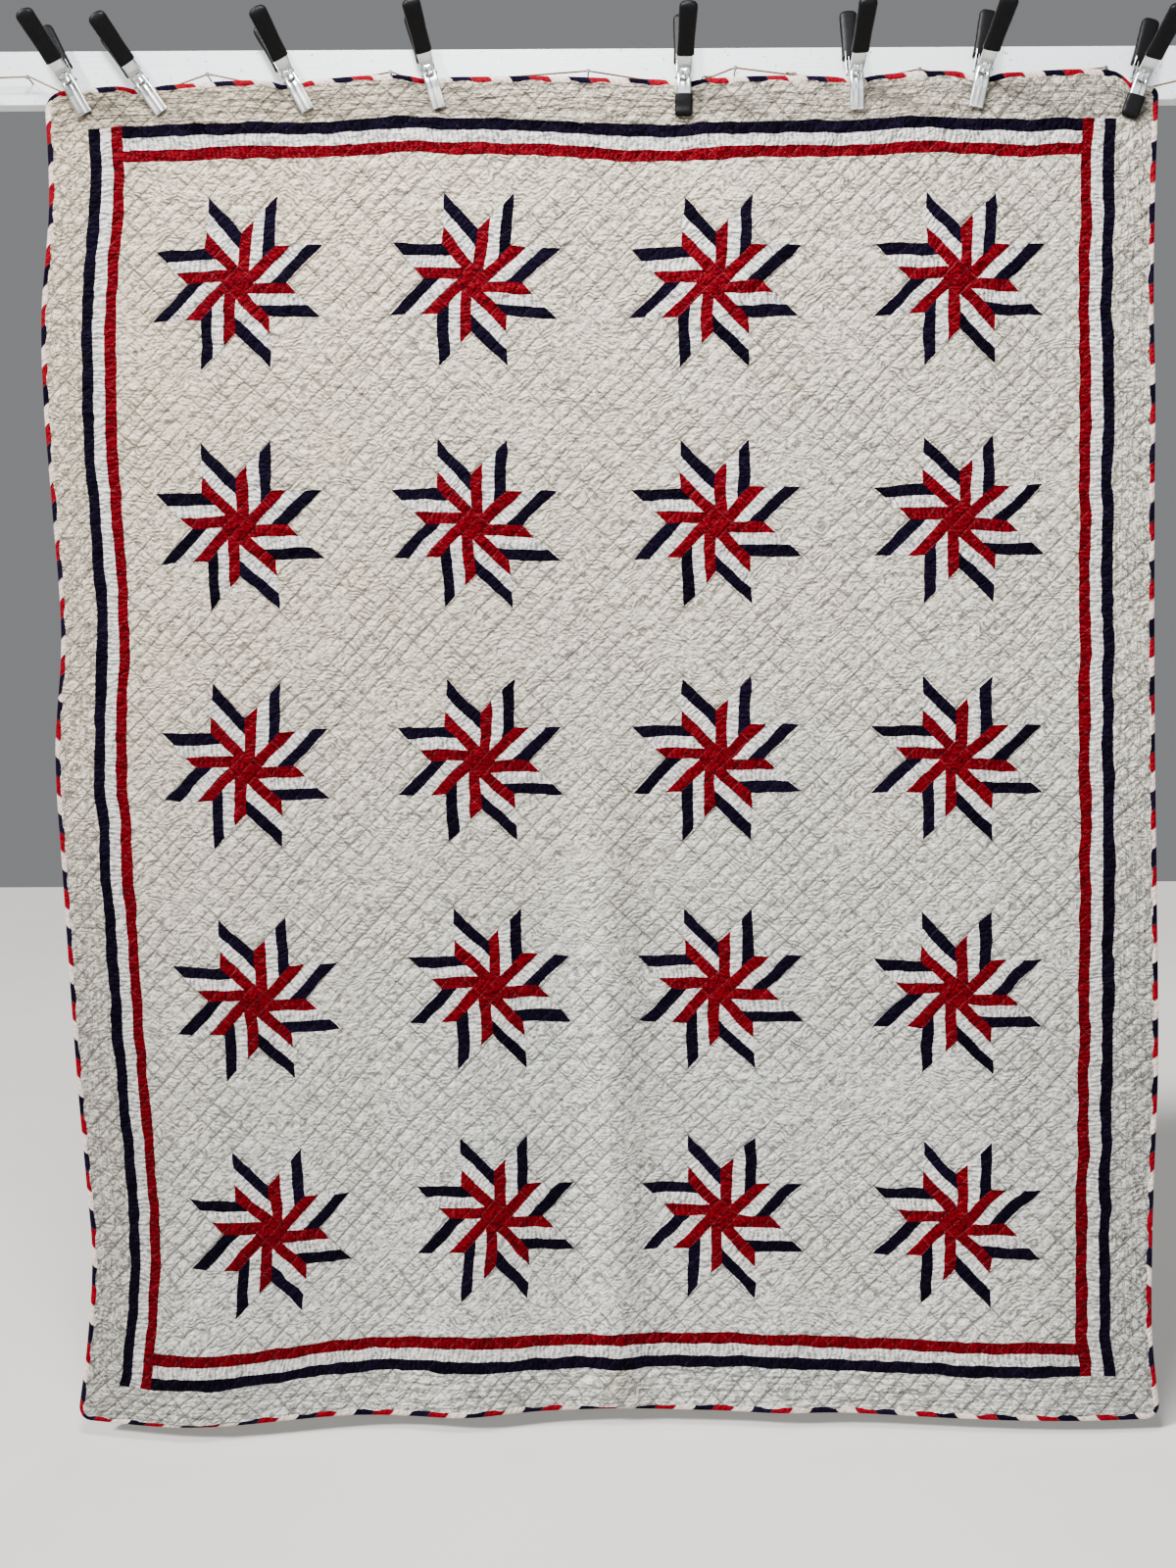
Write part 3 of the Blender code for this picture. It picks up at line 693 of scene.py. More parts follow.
def line_at(x):
    """The twine's place at a distance along the board."""
    return Vector(twine_line[np.abs(twine_line[:, 0] - x).argmin()])


def knot_path(centre, axis, radius):
    """A coil of a few turns round an axis."""
    side = axis.cross(Vector((0, 0, 1))).normalized()
    up = side.cross(axis).normalized()
    points = []
    steps = KNOT_STEPS * KNOT_TURNS
    for i in range(steps + 1):
        angle = 2 * math.pi * i / KNOT_STEPS
        along = (i / steps - 0.5) * KNOT_TURNS * 2.1 * TWINE_RADIUS
        points.append(centre + axis * along + radius * (side * math.cos(angle)
                                                        + up * math.sin(angle)))
    return points


def tail_path(start, lean, length):
    """A short tail that leaves a knot forwards and bends down."""
    points = []
    for i in range(TAIL_STEPS + 1):
        t = i / TAIL_STEPS
        points.append(start + Vector((lean * t, -TAIL_BOW * math.sin(3 * t),
                                      TAIL_BOW * math.sin(math.pi * t) - length * t * t)))
    return points


def join_meshes(name, meshes):
    """Several meshes as one."""
    bm = bmesh.new()
    for mesh in meshes:
        bm.from_mesh(mesh)
        bpy.data.meshes.remove(mesh)
    return mesh_of(bm, name)


for number, across in enumerate((NAILS[0].across, *KNOT_PLACES, NAILS[-1].across), 1):
    centre = line_at(across)
    axis = Vector((1, 0, 0))
    radius = LINE_KNOT_RADIUS
    if across not in KNOT_PLACES:
        axis = Vector((0, 1, 0))
        radius = NAIL_KNOT_RADIUS
        centre = centre + Vector((0, 0, -radius))
    parts = [laid_twine("coil", knot_path(centre, axis, radius))]
    for lean in TAIL_LEANS:
        path = tail_path(centre + Vector((lean / 3, -radius, -radius / 2)), lean,
                         TAIL_LENGTH * chance.uniform(0.6, 1.0))
        parts.append(laid_twine("tail", path))
    add_piece(f"twine_knot_{number}", join_meshes("knot", parts),
                           jute.material)


def stray_hairs():
    """Thin bent slivers that stand off the twine."""
    bm = bmesh.new()
    for _ in range(HAIR_COUNT):
        root = Vector(twine_line[chance.randrange(len(twine_line))])
        out = Vector((chance.uniform(-1.5, 1.5), chance.uniform(-1, 1),
                      chance.uniform(-1, 1))).normalized()
        length = chance.uniform(*HAIR_LENGTHS)
        made = bmesh.ops.create_cone(bm, cap_ends=True, segments=3,
                                     radius1=HAIR_THICKNESS, radius2=HAIR_POINT,
                                     depth=length)
        turn = out.to_track_quat("Z", "Y").to_matrix().to_4x4()
        place = Matrix.Translation(root + out * (length / 2 + HAIR_ROOT))
        bmesh.ops.transform(bm, matrix=place @ turn, verts=made["verts"])
    return mesh_of(bm, "twine_hairs")


hairs = add_piece("twine_hairs", stray_hairs(), jute.material)

# %% [markdown]
# The quilt's front is one grid of small squares sent through the same mapping. Each
# vertex also keeps its flat place in an attribute, which the patchwork is drawn on, so
# the pieces bend with the cloth. The filling swells between the lines of stitches, so a
# vertex in the middle of a diamond stands further forward than one on a line. The
# squares are split along the stitching, or the lines would turn into saw teeth.

# %% The quilted front, vertex by vertex
FINE_STEPS = 4
BORDER_CELLS = 4
COLUMNS = FINE_STEPS * (14 * BLOCKS_ACROSS + 2 * BORDER_CELLS)
ROWS = FINE_STEPS * (14 * BLOCKS_DOWN + 2 * BORDER_CELLS)
TUCK = 0.002
BODY_HALF_WIDTH = WIDTH / 2 - BINDING_WIDTH + TUCK
BODY_HALF_HEIGHT = HEIGHT / 2 - BINDING_WIDTH + TUCK
TUCK_RADIUS = CORNER_RADIUS - BINDING_WIDTH + TUCK
PUFF_SHARPNESS = 0.55
CLAMPED_FORWARD = 0.0024
CLAMPED_REACH = 0.045
Crease = namedtuple("Crease", "across down to_across to_down half_width forward")
CREASES = (
    Crease(across=0.47, down=0.506, to_across=0.78, to_down=0.500, half_width=0.008,
           forward=-0.0020),
    Crease(across=-0.29, down=0.54, to_across=-0.355, to_down=0.83, half_width=0.018,
           forward=0.0038),
    Crease(across=-0.40, down=1.10, to_across=-0.47, to_down=1.62, half_width=0.045,
           forward=0.0040),
    Crease(across=0.47, down=1.06, to_across=0.76, to_down=1.055, half_width=0.008,
           forward=-0.0014),
    Crease(across=0.010, down=1.20, to_across=0.020, to_down=2.20, half_width=0.050,
           forward=0.0090),
    Crease(across=-0.66, down=1.45, to_across=-0.69, to_down=2.20, half_width=0.060,
           forward=0.0060),
)
WRINKLES = ((38.0, 0.0011), (90.0, 0.00045))


def lattice_spread(counts, total, half_size):
    """Flat places of grid lines: even cells, the outermost drawn to the edge."""
    places = (counts - total / 2) * CELL / FINE_STEPS
    last_cell = total / 2 - FINE_STEPS
    beyond = np.clip((np.abs(counts - total / 2) - last_cell) / FINE_STEPS, 0, 1)
    inner = last_cell * CELL / FINE_STEPS
    drawn = np.sign(places) * (inner + beyond * (half_size - inner))
    return np.where(beyond > 0, drawn, places)


def round_corners(across, up, half_width, half_height, radius):
    """Send the square corners of a sheet onto quarter discs."""
    u = np.clip((np.abs(across) - half_width + radius) / radius, 0, 1)
    v = np.clip((np.abs(up) - half_height + radius) / radius, 0, 1)
    in_corner = (u > 0) & (v > 0)
    drawn_across = half_width - radius + radius * u * np.sqrt(1 - v * v / 2)
    drawn_up = half_height - radius + radius * v * np.sqrt(1 - u * u / 2)
    return (
        np.where(in_corner, np.sign(across) * drawn_across, across),
        np.where(in_corner, np.sign(up) * drawn_up, up),
    )


def distance_to(crease, across, down):
    """Distance of places from a crease's line."""
    start = np.array([crease.across, crease.down])
    run = np.array([crease.to_across, crease.to_down]) - start
    offset = np.stack([across, down], axis=1) - start
    share = np.clip(offset @ run / (run @ run), 0.0, 1.0)
    return np.linalg.norm(offset - share[:, None] * run, axis=1)


def top_forward(across, up):
    """How far the quilted front stands forward of the cloth's middle."""
    down = HEIGHT / 2 - up
    s = (across + up) / (2 * CELL)
    t = (across - up) / (2 * CELL)
    puff = np.abs(np.sin(math.pi * s) * np.sin(math.pi * t)) ** PUFF_SHARPNESS
    forward = STITCH_FORWARD + (CROWN_FORWARD - STITCH_FORWARD) * puff
    for scale, size in WRINKLES:
        wrinkle = [noise.noise(Vector((a * scale, b * scale, scale)))
                   for a, b in zip(across.tolist(), up.tolist())]
        forward = forward + size * np.array(wrinkle) * (0.3 + 0.7 * puff)
    for crease in CREASES:
        forward = forward + crease.forward * hump(distance_to(crease, across, down),
                                                  crease.half_width)
    near_clamp = np.zeros_like(across)
    for clamp in CLAMPS:
        reach = np.hypot(across - clamp.tip_across, down - CLAMPED_REACH)
        near_clamp = np.maximum(near_clamp, hump(reach, CLAMPED_REACH))
    pressed = np.minimum(forward, CLAMPED_FORWARD)
    return forward + (pressed - forward) * near_clamp


def cloth_grid(name, columns, rows, forward_of):
    """A grid bent to where the cloth hangs, with its flat places kept."""
    bm = bmesh.new()
    bmesh.ops.create_grid(bm, x_segments=columns, y_segments=rows, size=0.5)
    on_lines = [vert for vert in bm.verts
                if (round((vert.co.x + 0.5) * columns)
                    + round((vert.co.y + 0.5) * rows) - columns // 2 - rows // 2) % 2 == 0]
    bmesh.ops.connect_verts(bm, verts=on_lines)
    mesh = mesh_of(bm, name)
    unit = np.empty(3 * len(mesh.vertices))
    mesh.vertices.foreach_get("co", unit)
    unit = unit.reshape(-1, 3)
    fine_columns = (unit[:, 0] + 0.5) * COLUMNS
    fine_rows = (unit[:, 1] + 0.5) * ROWS
    across = lattice_spread(fine_columns, COLUMNS, BODY_HALF_WIDTH)
    up = lattice_spread(fine_rows, ROWS, BODY_HALF_HEIGHT)
    across, up = round_corners(across, up, BODY_HALF_WIDTH, BODY_HALF_HEIGHT, TUCK_RADIUS)
    hung = hang(across, HEIGHT / 2 - up, forward_of(across, up))
    mesh.vertices.foreach_set("co", hung.ravel())
    flat = mesh.attributes.new("flat", "FLOAT_VECTOR", "POINT")
    flat.data.foreach_set("vector", np.stack([across, up, 0 * up], axis=1).ravel())
    mesh.update()
    return mesh


top_mesh = cloth_grid("quilt_top", COLUMNS, ROWS, top_forward)
back_mesh = cloth_grid("quilt_backing", COLUMNS // 2, ROWS // 2,
                       lambda across, up: np.full_like(across, -BACK_BEHIND))
back_mesh.flip_normals()
print("faces of the top and the backing:", len(top_mesh.polygons), len(back_mesh.polygons))

# %% [markdown]
# The patchwork is arithmetic on the flat place. In each block, the angle round the
# middle says which of the eight points a place lies in; two lengths along that point's
# sides then say which strip. Hand quilting shows as a groove with small dashes of
# thread; on the cream and the white strips the dashes are also darkened in the colour,
# as painted shade of the stitch holes. The dashes, the puckers between them and the ribs
# over the seam allowances are all heights in metres, so one Bump node can take their sum.

# %% Cloth colours and the patchwork
CREAM = (0.695, 0.680, 0.602)
CREAM_LOW = (0.672, 0.702, 0.680)
CREAM_WARM = (0.800, 0.640, 0.455)
RED = (0.112, 0.0, 0.0042)
NAVY = (0.0017, 0.0007, 0.0050)
WHITE = (0.700, 0.685, 0.650)
POINT_SIDE = 0.0808
STITCH_PITCH = 0.0043
GROOVE_HALF_WIDTH = 0.0034
RIB_PITCH = 0.0082
BORDER_END = FIELD_HALF_HEIGHT + 3 * STRIPE

quilted = Finish("quilted_cotton", Roughness=0.9, Specular_IOR_Level=0.03)
flat_place = quilted.kept("flat")
sewn_place = quilted.shifted(flat_place, 14.0, 0.014)
across = quilted.part(sewn_place, "X")
up = quilted.part(sewn_place, "Y")

column = (across / BLOCK_PITCH).floor()
row = (up / BLOCK_PITCH + 0.5).floor()
block_x = across - (column + 0.5) * BLOCK_PITCH
block_y = up - row * BLOCK_PITCH
turn = block_x.math("ARCTAN2", block_x, block_y)
sector = (turn / math.radians(45)).floor()
in_point = turn - sector * math.radians(45)
radius = (block_x * block_x + block_y * block_y) ** 0.5
second = radius * in_point.sine() / math.sin(math.radians(45))
outwards = radius * in_point.cosine()
first = outwards - second * math.cos(math.radians(45))
in_width = abs(across) < FIELD_HALF_WIDTH
in_field = in_width * (abs(up) < FIELD_HALF_HEIGHT)
in_star = (first < POINT_SIDE) * (second < POINT_SIDE) * in_field
star_red = in_star * (second < POINT_SIDE / 3)
star_navy = in_star * (second > POINT_SIDE * 2 / 3)
star_white = in_star * (1 - star_red - star_navy)
print("blocks:", BLOCKS_ACROSS * BLOCKS_DOWN)


# %% Border stripes
def stripe(distance, number):
    """One where a distance lies in that stripe outside the blocks."""
    return (distance > number * STRIPE) * (distance < (number + 1) * STRIPE)


side_distance = abs(across) - FIELD_HALF_WIDTH
end_distance = abs(up) - FIELD_HALF_HEIGHT
side_reach = abs(up) < BORDER_END
stripes = [stripe(side_distance, n) * side_reach + stripe(end_distance, n) * in_width
           for n in range(3)]
red_cloth = star_red + stripes[0]
navy_cloth = star_navy + stripes[2]
white_cloth = star_white + stripes[1]
coloured = red_cloth + navy_cloth + white_cloth
in_border = 1 - (side_distance < 3 * STRIPE) * (end_distance < 3 * STRIPE)
print("stripes in a border:", len(stripes))


# %% The quilting lines
def saw(field):
    """Distance from the nearest whole number."""
    return abs(field - (field + 0.5).floor())


quilt_place = quilted.shifted(flat_place, 7.0, 0.020)
stitch_x = quilted.part(quilt_place, "X")
stitch_y = quilted.part(quilt_place, "Y")
rising = (stitch_x - stitch_y) / (2 * CELL)
falling = (stitch_x + stitch_y) / (2 * CELL)
LINE_PITCH = CELL * math.sqrt(2)
to_rising = saw(rising) * LINE_PITCH
to_falling = saw(falling) * LINE_PITCH
to_half = saw(rising + 0.5) * LINE_PITCH
groove = 1 - (1 - bell(to_rising, GROOVE_HALF_WIDTH)) * (
    1 - 0.6 * bell(to_falling, GROOVE_HALF_WIDTH)) * (
    1 - 0.75 * bell(to_half, GROOVE_HALF_WIDTH))
along_rising = falling * (LINE_PITCH / STITCH_PITCH)
along_falling = rising * (LINE_PITCH / STITCH_PITCH)
dash = (bell(to_rising, 0.0008) * (saw(along_rising) < 0.27)
        + bell(to_falling, 0.0007) * (saw(along_falling) < 0.27) * 0.7
        + bell(to_half, 0.0008) * (saw(along_rising) < 0.24) * 0.9).smaller(1.0)
pulled = quilted.noise(flat_place, 8.0, detail=3)
pulled = quilted.between(pulled, 0.38, 0.60, least=0.25)
seam_shadow = (bell(to_rising, 0.0016) + bell(to_half, 0.0015) * 0.7
               + bell(to_falling, 0.0014) * 0.6).smaller(1.0) * pulled

# %% Puckers, ripples, ribs and the weave
RIPPLE_PITCH = 0.0092
RIPPLE_SLANTS = (math.radians(16), math.radians(-14))
puckers = quilted.noise(flat_place, 95.0, detail=4, roughness=0.65)
crinkles = quilted.noise(quilted.stretched(flat_place, (150, 320, 1), 24), 1.0, detail=3,
                         roughness=0.6)
slow_puckers = quilted.noise(quilted.stretched(flat_place, (26, 50, 1), 20), 1.0, detail=2)
ripple_bend = quilted.noise(flat_place, 22.0, detail=2)
ripple_family = quilted.noise(flat_place, 11.0, detail=1)
ripple_family = quilted.between(ripple_family, 0.42, 0.58)
ripples = 0.0
for slant, part in zip(RIPPLE_SLANTS, (1 - ripple_family, ripple_family)):
    ripple_place = stitch_y * math.cos(slant) - stitch_x * math.sin(slant)
    waves = (ripple_place / RIPPLE_PITCH + ripple_bend * 7.0) * (2 * math.pi)
    ripples = waves.sine() * part + ripples
ripple_patches = quilted.noise(flat_place, 48.0, detail=1)
ripple_size = quilted.between(ripple_patches, 0.36, 0.60, least=0.25)
rib_along = (outwards * in_star
             + (side_distance > 0) * up
             + (side_distance < 0) * across * (end_distance > 0))
ribs = (rib_along * (2 * math.pi / RIB_PITCH) + ripple_bend * 22.0 + puckers * 7.0).sine()
rib_size = 0.45 + ripple_size * 0.55
border_creases = quilted.noise(quilted.stretched(flat_place, (13, 105, 1)), 1.0, detail=2)
side_creases = quilted.noise(quilted.stretched(flat_place, (105, 26, 1)), 1.0, detail=2)
at_side = (side_distance > 3 * STRIPE) * side_reach
at_ends = in_border - at_side
hanging = quilted.between(up, 0.15, -0.25)
weave = quilted.noise(flat_place, 1500.0, detail=1)

# %% Add up the heights
GROOVE_DEPTH = 0.0060
DASH_DEPTH = 0.0004
PUCKER_SWING = 0.0330
CRINKLE_SWING = 0.0110
SLOW_SWING = 0.0420
RIPPLE_HEIGHT = 0.00260
RIB_HEIGHT = 0.00230
BORDER_SWING = 0.0450
SIDE_SWING = 0.0240
MIDDLE_FOLD_HEIGHT = 0.0200
LEFT_FOLD_HEIGHT = 0.0480
WEAVE_HEIGHT = 0.00010
plain = 1 - coloured
height = (
    groove * pulled * -GROOVE_DEPTH
    + dash * -DASH_DEPTH
    + (puckers - 0.5) * PUCKER_SWING
    + (crinkles - 0.5) * CRINKLE_SWING
    + (slow_puckers - 0.5) * SLOW_SWING
    + ripples * ripple_size * plain * (1 - at_ends * 0.6) * RIPPLE_HEIGHT
    + ribs * rib_size * coloured * RIB_HEIGHT
    + (border_creases - 0.5) * at_ends * BORDER_SWING
    + (side_creases - 0.5) * at_side * SIDE_SWING
    + bell(across - 0.012, 0.055) * hanging * MIDDLE_FOLD_HEIGHT
    + bell(across + 0.93, 0.110) * hanging * LEFT_FOLD_HEIGHT
    + weave * WEAVE_HEIGHT
)
print("the cloth's heights are added up")

# %% Painted shade in the hollows, along the seams and in the creases
hollow_depth = puckers * 0.5 + crinkles * 0.5
hollows = quilted.between(hollow_depth, 0.54, 0.36)
ripple_hollow = ((1 - ripples) * 0.5) ** 2.5
rib_hollow = ((1 - ribs) * 0.5) ** 2.0
crinkle_line = bell(crinkles - 0.5, 0.022)
crease_line = (bell(border_creases - 0.5, 0.020) * at_ends
               + bell(side_creases - 0.5, 0.020) * at_side)
# Painted shade: the colour is darkened in the hollows, ripples and ribs, along the crinkle and
# crease lines, and beside the quilting lines.
hollow_shade = (
    hollows * 0.88
    + ripple_hollow * ripple_size * plain * 0.90
    + rib_hollow * rib_size * coloured * 0.74
    + crinkle_line * plain * 0.42
    + crease_line * 0.80
    + seam_shadow * plain * 1.30
    + seam_shadow * coloured * 0.18
).smaller(1.04)
painted_shading = 1.45 - hollow_shade


# %% Stains and tone; painted shade at the lower sides and the top border, painted light and shade by the middle fold
def stain(across_at, up_at, size):
    """A soft round patch at a flat place."""
    off_x = stitch_x - across_at
    off_y = stitch_y - up_at
    return bell((off_x * off_x + off_y * off_y) ** 0.5 + (puckers - 0.5) * size, size)


shade_noise = quilted.noise(flat_place, 3.0, detail=3)
slub = quilted.noise(flat_place, 260.0, detail=2)
upper_left = ((up - stitch_x) * 0.40 + 0.15).smaller(1.0).larger(0.0)
lower = quilted.between(up, 0.25, -0.55)
cream = quilted.mix(lower, CREAM, CREAM_LOW)
cream = quilted.mix(shade_noise * 0.35 + upper_left * 0.65, cream, CREAM_WARM)
cream = quilted.mix(slub * 0.12, cream, (0.62, 0.55, 0.44))
stains = (stain(-0.43, 0.52, 0.030) + stain(-0.40, 0.30, 0.022) * 0.7
          + stain(0.20, 0.10, 0.018) * 0.6 + stain(0.02, -1.05, 0.030) * 0.8
          + stain(0.32, 0.62, 0.014) * 0.7).smaller(1.0)
cream = quilted.mix(stains * 0.45, cream, (0.62, 0.50, 0.30))
# The dark dashes on cream are painted shade of the stitch holes.
cream = quilted.mix(dash * 0.75, cream, (0.10, 0.09, 0.08))
# Painted shade: the cloth darkens towards its lower sides.
near_sides = quilted.between(abs(across), 0.62, 0.92)
further_down = quilted.between(up, 0.10, -0.60)
lower_side_shade = near_sides * further_down
# Painted shade over the top border.
top_border = at_ends * (up > 0)
fold_light = bell(across + 0.022, 0.034) * hanging
fold_shade = bell(across - 0.045, 0.032) * hanging
painted_shading = painted_shading * (1 - lower_side_shade * 0.28) * (1 - top_border * 0.26)
painted_shading = painted_shading * (1 + fold_light * 0.12) * (1 - fold_shade * 0.15)

# %% Colour the pieces
piece_number = quilted.node("CombineXYZ", {0: column * 9.1 + sector, 1: row * 7.3,
                                           2: (second * 37).floor()})
piece_shade = quilted.node("TexWhiteNoise", {"Vector": piece_number}, output="Value")
red = quilted.mix(piece_shade * 0.5, RED, (0.160, 0.0, 0.0055))
red = quilted.mix(dash * 0.09, red, (0.72, 0.35, 0.35))
navy = quilted.mix(piece_shade * 0.6, NAVY, (0.0052, 0.0022, 0.0140))
navy = quilted.mix(dash * 0.05, navy, (0.30, 0.28, 0.33))
# On the white strips the dashes are darkened: painted shade of the stitch holes.
white = quilted.mix(dash * 0.3, WHITE, (0.30, 0.27, 0.25))
cloth = quilted.mix(red_cloth, cream, red)
cloth = quilted.mix(navy_cloth, cloth, navy)
cloth = quilted.mix(white_cloth, cloth, white)
quilted.use(Base_Color=quilted.darkened(cloth, painted_shading), Height=height)
print("patchwork drawn")

# %% Dress the top and the backing
backing_cloth = Finish("backing_cotton", Roughness=0.9)
back_place = backing_cloth.kept("flat")
back_x = backing_cloth.part(back_place, "X")
back_y = backing_cloth.part(back_place, "Y")
back_rising = saw((back_x - back_y) / (2 * CELL)) * LINE_PITCH
back_falling = saw((back_x + back_y) / (2 * CELL)) * LINE_PITCH
back_groove = (bell(back_rising, GROOVE_HALF_WIDTH)
               + bell(back_falling, GROOVE_HALF_WIDTH)).smaller(1.0)
back_puckers = backing_cloth.noise(back_place, 80.0, detail=3)
back_tone = backing_cloth.noise(back_place, 4.0, detail=3)
back_colour = backing_cloth.mix(back_tone, CREAM, CREAM_WARM)
# Painted shade in the backing's quilting grooves.
back_colour = backing_cloth.mix(back_groove * 0.25, back_colour, (0.40, 0.34, 0.27))
back_height = (back_groove * -0.0011) + back_puckers * 0.004
backing_cloth.use(Base_Color=back_colour, Height=back_height)

top = add_piece("quilt_top", top_mesh, quilted.material, ["quilt"])
backing = add_piece("quilt_backing", back_mesh, backing_cloth.material)
print("the quilt's top and backing are in place")

# %% [markdown]
# The binding is a narrow strip folded over the raw edges, pieced of short slanted
# scraps. One long grid is rolled round the edge: its columns follow the edge, and its
# rows follow the fold from the front over to the back. A number that grows along the
# strip is kept with each vertex; its whole part picks the scrap's colour, so a scrap's
# seam is a clean slanted line however coarse the grid is.

# %% Roll a strip round each edge
PATCH_LENGTH = 0.0322
STRIP_STEP = 0.0035
FOLD_ROWS = 12
CORNER_STATIONS = 7
ROLL_FORWARD = 0.0031
ROLL_BEHIND = 0.0029
SEAM_SLANT = 0.16
PatchRun = namedtuple("PatchRun", "start first_patch flips way")
PATCH_RUNS = {
    "top": PatchRun(start=-0.827, first_patch=0.0, flips=(), way=1),
    "bottom": PatchRun(start=-0.90, first_patch=0.4, flips=(0.367,), way=1),
    "left": PatchRun(start=0.047, first_patch=1.999, flips=(0.985,), way=-1),
    "right": PatchRun(start=0.012, first_patch=0.4, flips=(1.90, 2.03), way=1),
}


def patch_count(name, at):
    """Count the scraps along a side; the count turns round at each flip."""
    start, count, flips, way = PATCH_RUNS[name]
    ends = (*flips, np.inf)
    count = count + way * (np.minimum(at, ends[0]) - start) / PATCH_LENGTH
    for flip, until in zip(flips, ends[1:]):
        way = -way
        count = count + way * np.clip(at - flip, 0, until - flip) / PATCH_LENGTH
    return count


def strip_line(half_along, half_out):
    """Places along the strip's inner line, and which way is outwards."""
    inner_radius = CORNER_RADIUS - BINDING_WIDTH
    straight = half_along - CORNER_RADIUS
    steps = round(2 * straight / STRIP_STEP)
    turns = [math.radians(t) for t in np.linspace(-45, 0, CORNER_STATIONS)]
    places = [(-straight + inner_radius * math.sin(t),
               half_out - CORNER_RADIUS + inner_radius * math.cos(t), t) for t in turns]
    places += [(a, half_out - BINDING_WIDTH, 0.0)
               for a in np.linspace(-straight, straight, steps + 1)[1:-1]]
    places += [(-x, y, -t) for x, y, t in reversed(places[:CORNER_STATIONS])]
    return np.array(places)


def strip_section(girth):
    """The rolled section: how far outwards and how far forward, from front to back."""
    angle = math.pi * girth
    outwards = np.sin(angle) ** 0.8
    swell = np.cos(angle)
    forward = np.where(swell > 0, ROLL_FORWARD, -ROLL_BEHIND) * np.abs(swell) ** 0.75
    at_seam = np.minimum(girth, 1 - girth) < 0.04
    return outwards, np.where(at_seam, forward * 0.55, forward)


Side = namedtuple("Side", "name half_along half_out turn")
BINDING_SIDES = (
    Side("top", WIDTH / 2, HEIGHT / 2, lambda x, y: (x, y)),
    Side("right", HEIGHT / 2, WIDTH / 2, lambda x, y: (y, -x)),
    Side("bottom", WIDTH / 2, HEIGHT / 2, lambda x, y: (-x, -y)),
    Side("left", HEIGHT / 2, WIDTH / 2, lambda x, y: (-y, x)),
)


def binding_mesh(side):
    """One side's strip as a rolled grid, with its patch count and its girth."""
    line = strip_line(side.half_along, side.half_out)
    bm = bmesh.new()
    bmesh.ops.create_grid(bm, x_segments=len(line) - 1, y_segments=FOLD_ROWS, size=0.5)
    mesh = mesh_of(bm, "binding_" + side.name)
    unit = np.empty(3 * len(mesh.vertices))
    mesh.vertices.foreach_get("co", unit)
    unit = unit.reshape(-1, 3) + 0.5
    station = np.rint(unit[:, 0] * (len(line) - 1)).astype(int)
    girth = 1 - unit[:, 1]
    outwards, forward = strip_section(girth)
    x, y, turn = line[station].T
    x = x + np.sin(turn) * outwards * BINDING_WIDTH
    y = y + np.cos(turn) * outwards * BINDING_WIDTH
    across, up = side.turn(x, y)
    down = HEIGHT / 2 - up
    at = across if side.name in ("top", "bottom") else down
    count = patch_count(side.name, at) + SEAM_SLANT * (girth * 4 - 1)
    near_seam = hump(np.abs(count - np.rint(count)) * PATCH_LENGTH, 0.0022)
    forward = forward * (1 - 0.16 * near_seam)
    hung = hang(across, down, forward)
    mesh.vertices.foreach_set("co", hung.ravel())
    kept = mesh.attributes.new("scrap", "FLOAT_VECTOR", "POINT")
    values = np.stack([count, girth, across + up], axis=1)
    kept.data.foreach_set("vector", values.ravel())
    mesh.update()
    return mesh


# %% Finish the binding
bound = Finish("binding_cotton", Roughness=0.9, Specular_IOR_Level=0.02)
scrap = bound.kept("scrap")
count = bound.part(scrap, "X")
bound_place = bound.here()
third = count.floor() % 3
is_red = (third > 0.5) * (third < 1.5)
is_white = third > 1.5
seam = bell(saw(count) * PATCH_LENGTH, 0.0011)
scrap_shade = bound.node("TexWhiteNoise", {"Vector": bound.node(
    "CombineXYZ", {0: count.floor()})}, output="Value")
bound_fine = bound.noise(bound_place, 160.0, detail=3)
bound_red = bound.mix(scrap_shade * 0.6, (0.150, 0.0, 0.006), (0.115, 0.001, 0.006))
bound_navy = bound.mix(scrap_shade * 0.7, NAVY, (0.0065, 0.0036, 0.0150))
bound_white = bound.mix(scrap_shade * 0.5, (0.56, 0.455, 0.41), (0.49, 0.38, 0.34))
bound_colour = bound.mix(is_red, bound_navy, bound_red)
bound_colour = bound.mix(is_white, bound_colour, bound_white)
bound_colour = bound.mix(seam * 0.35, bound_colour, (0.08, 0.04, 0.05))
bound_folds = bound.noise(bound.stretched(scrap, (5.0, 1.5, 1)), 1.0, detail=2)
# Painted shade along the binding's fold lines.
bound_colour = bound.darkened(bound_colour, 1.05 - bell(bound_folds - 0.5, 0.03) * 0.35)
bound.use(Base_Color=bound_colour,
          Height=seam * -0.0006 + (bound_fine - 0.5) * 0.0040
          + (bound_folds - 0.5) * 0.0050)
for side in BINDING_SIDES:
    strip = add_piece("binding_strip_" + side.name, binding_mesh(side), bound.material,
                      ["binding_" + side.name])

# %% [markdown]
# Each clamp is two pressed steel channels that turn on a pin, with a coiled spring
# between them. A channel is one sheet with its sides folded back, so it is a grid: its
# rows climb from the jaw to the handle, its columns go round from one folded side to
# the other. The rows sag to a V near the pin, so that deleting a few faces leaves the
# two chevron-shaped windows, and a Solidify modifier gives the sheet its thickness.

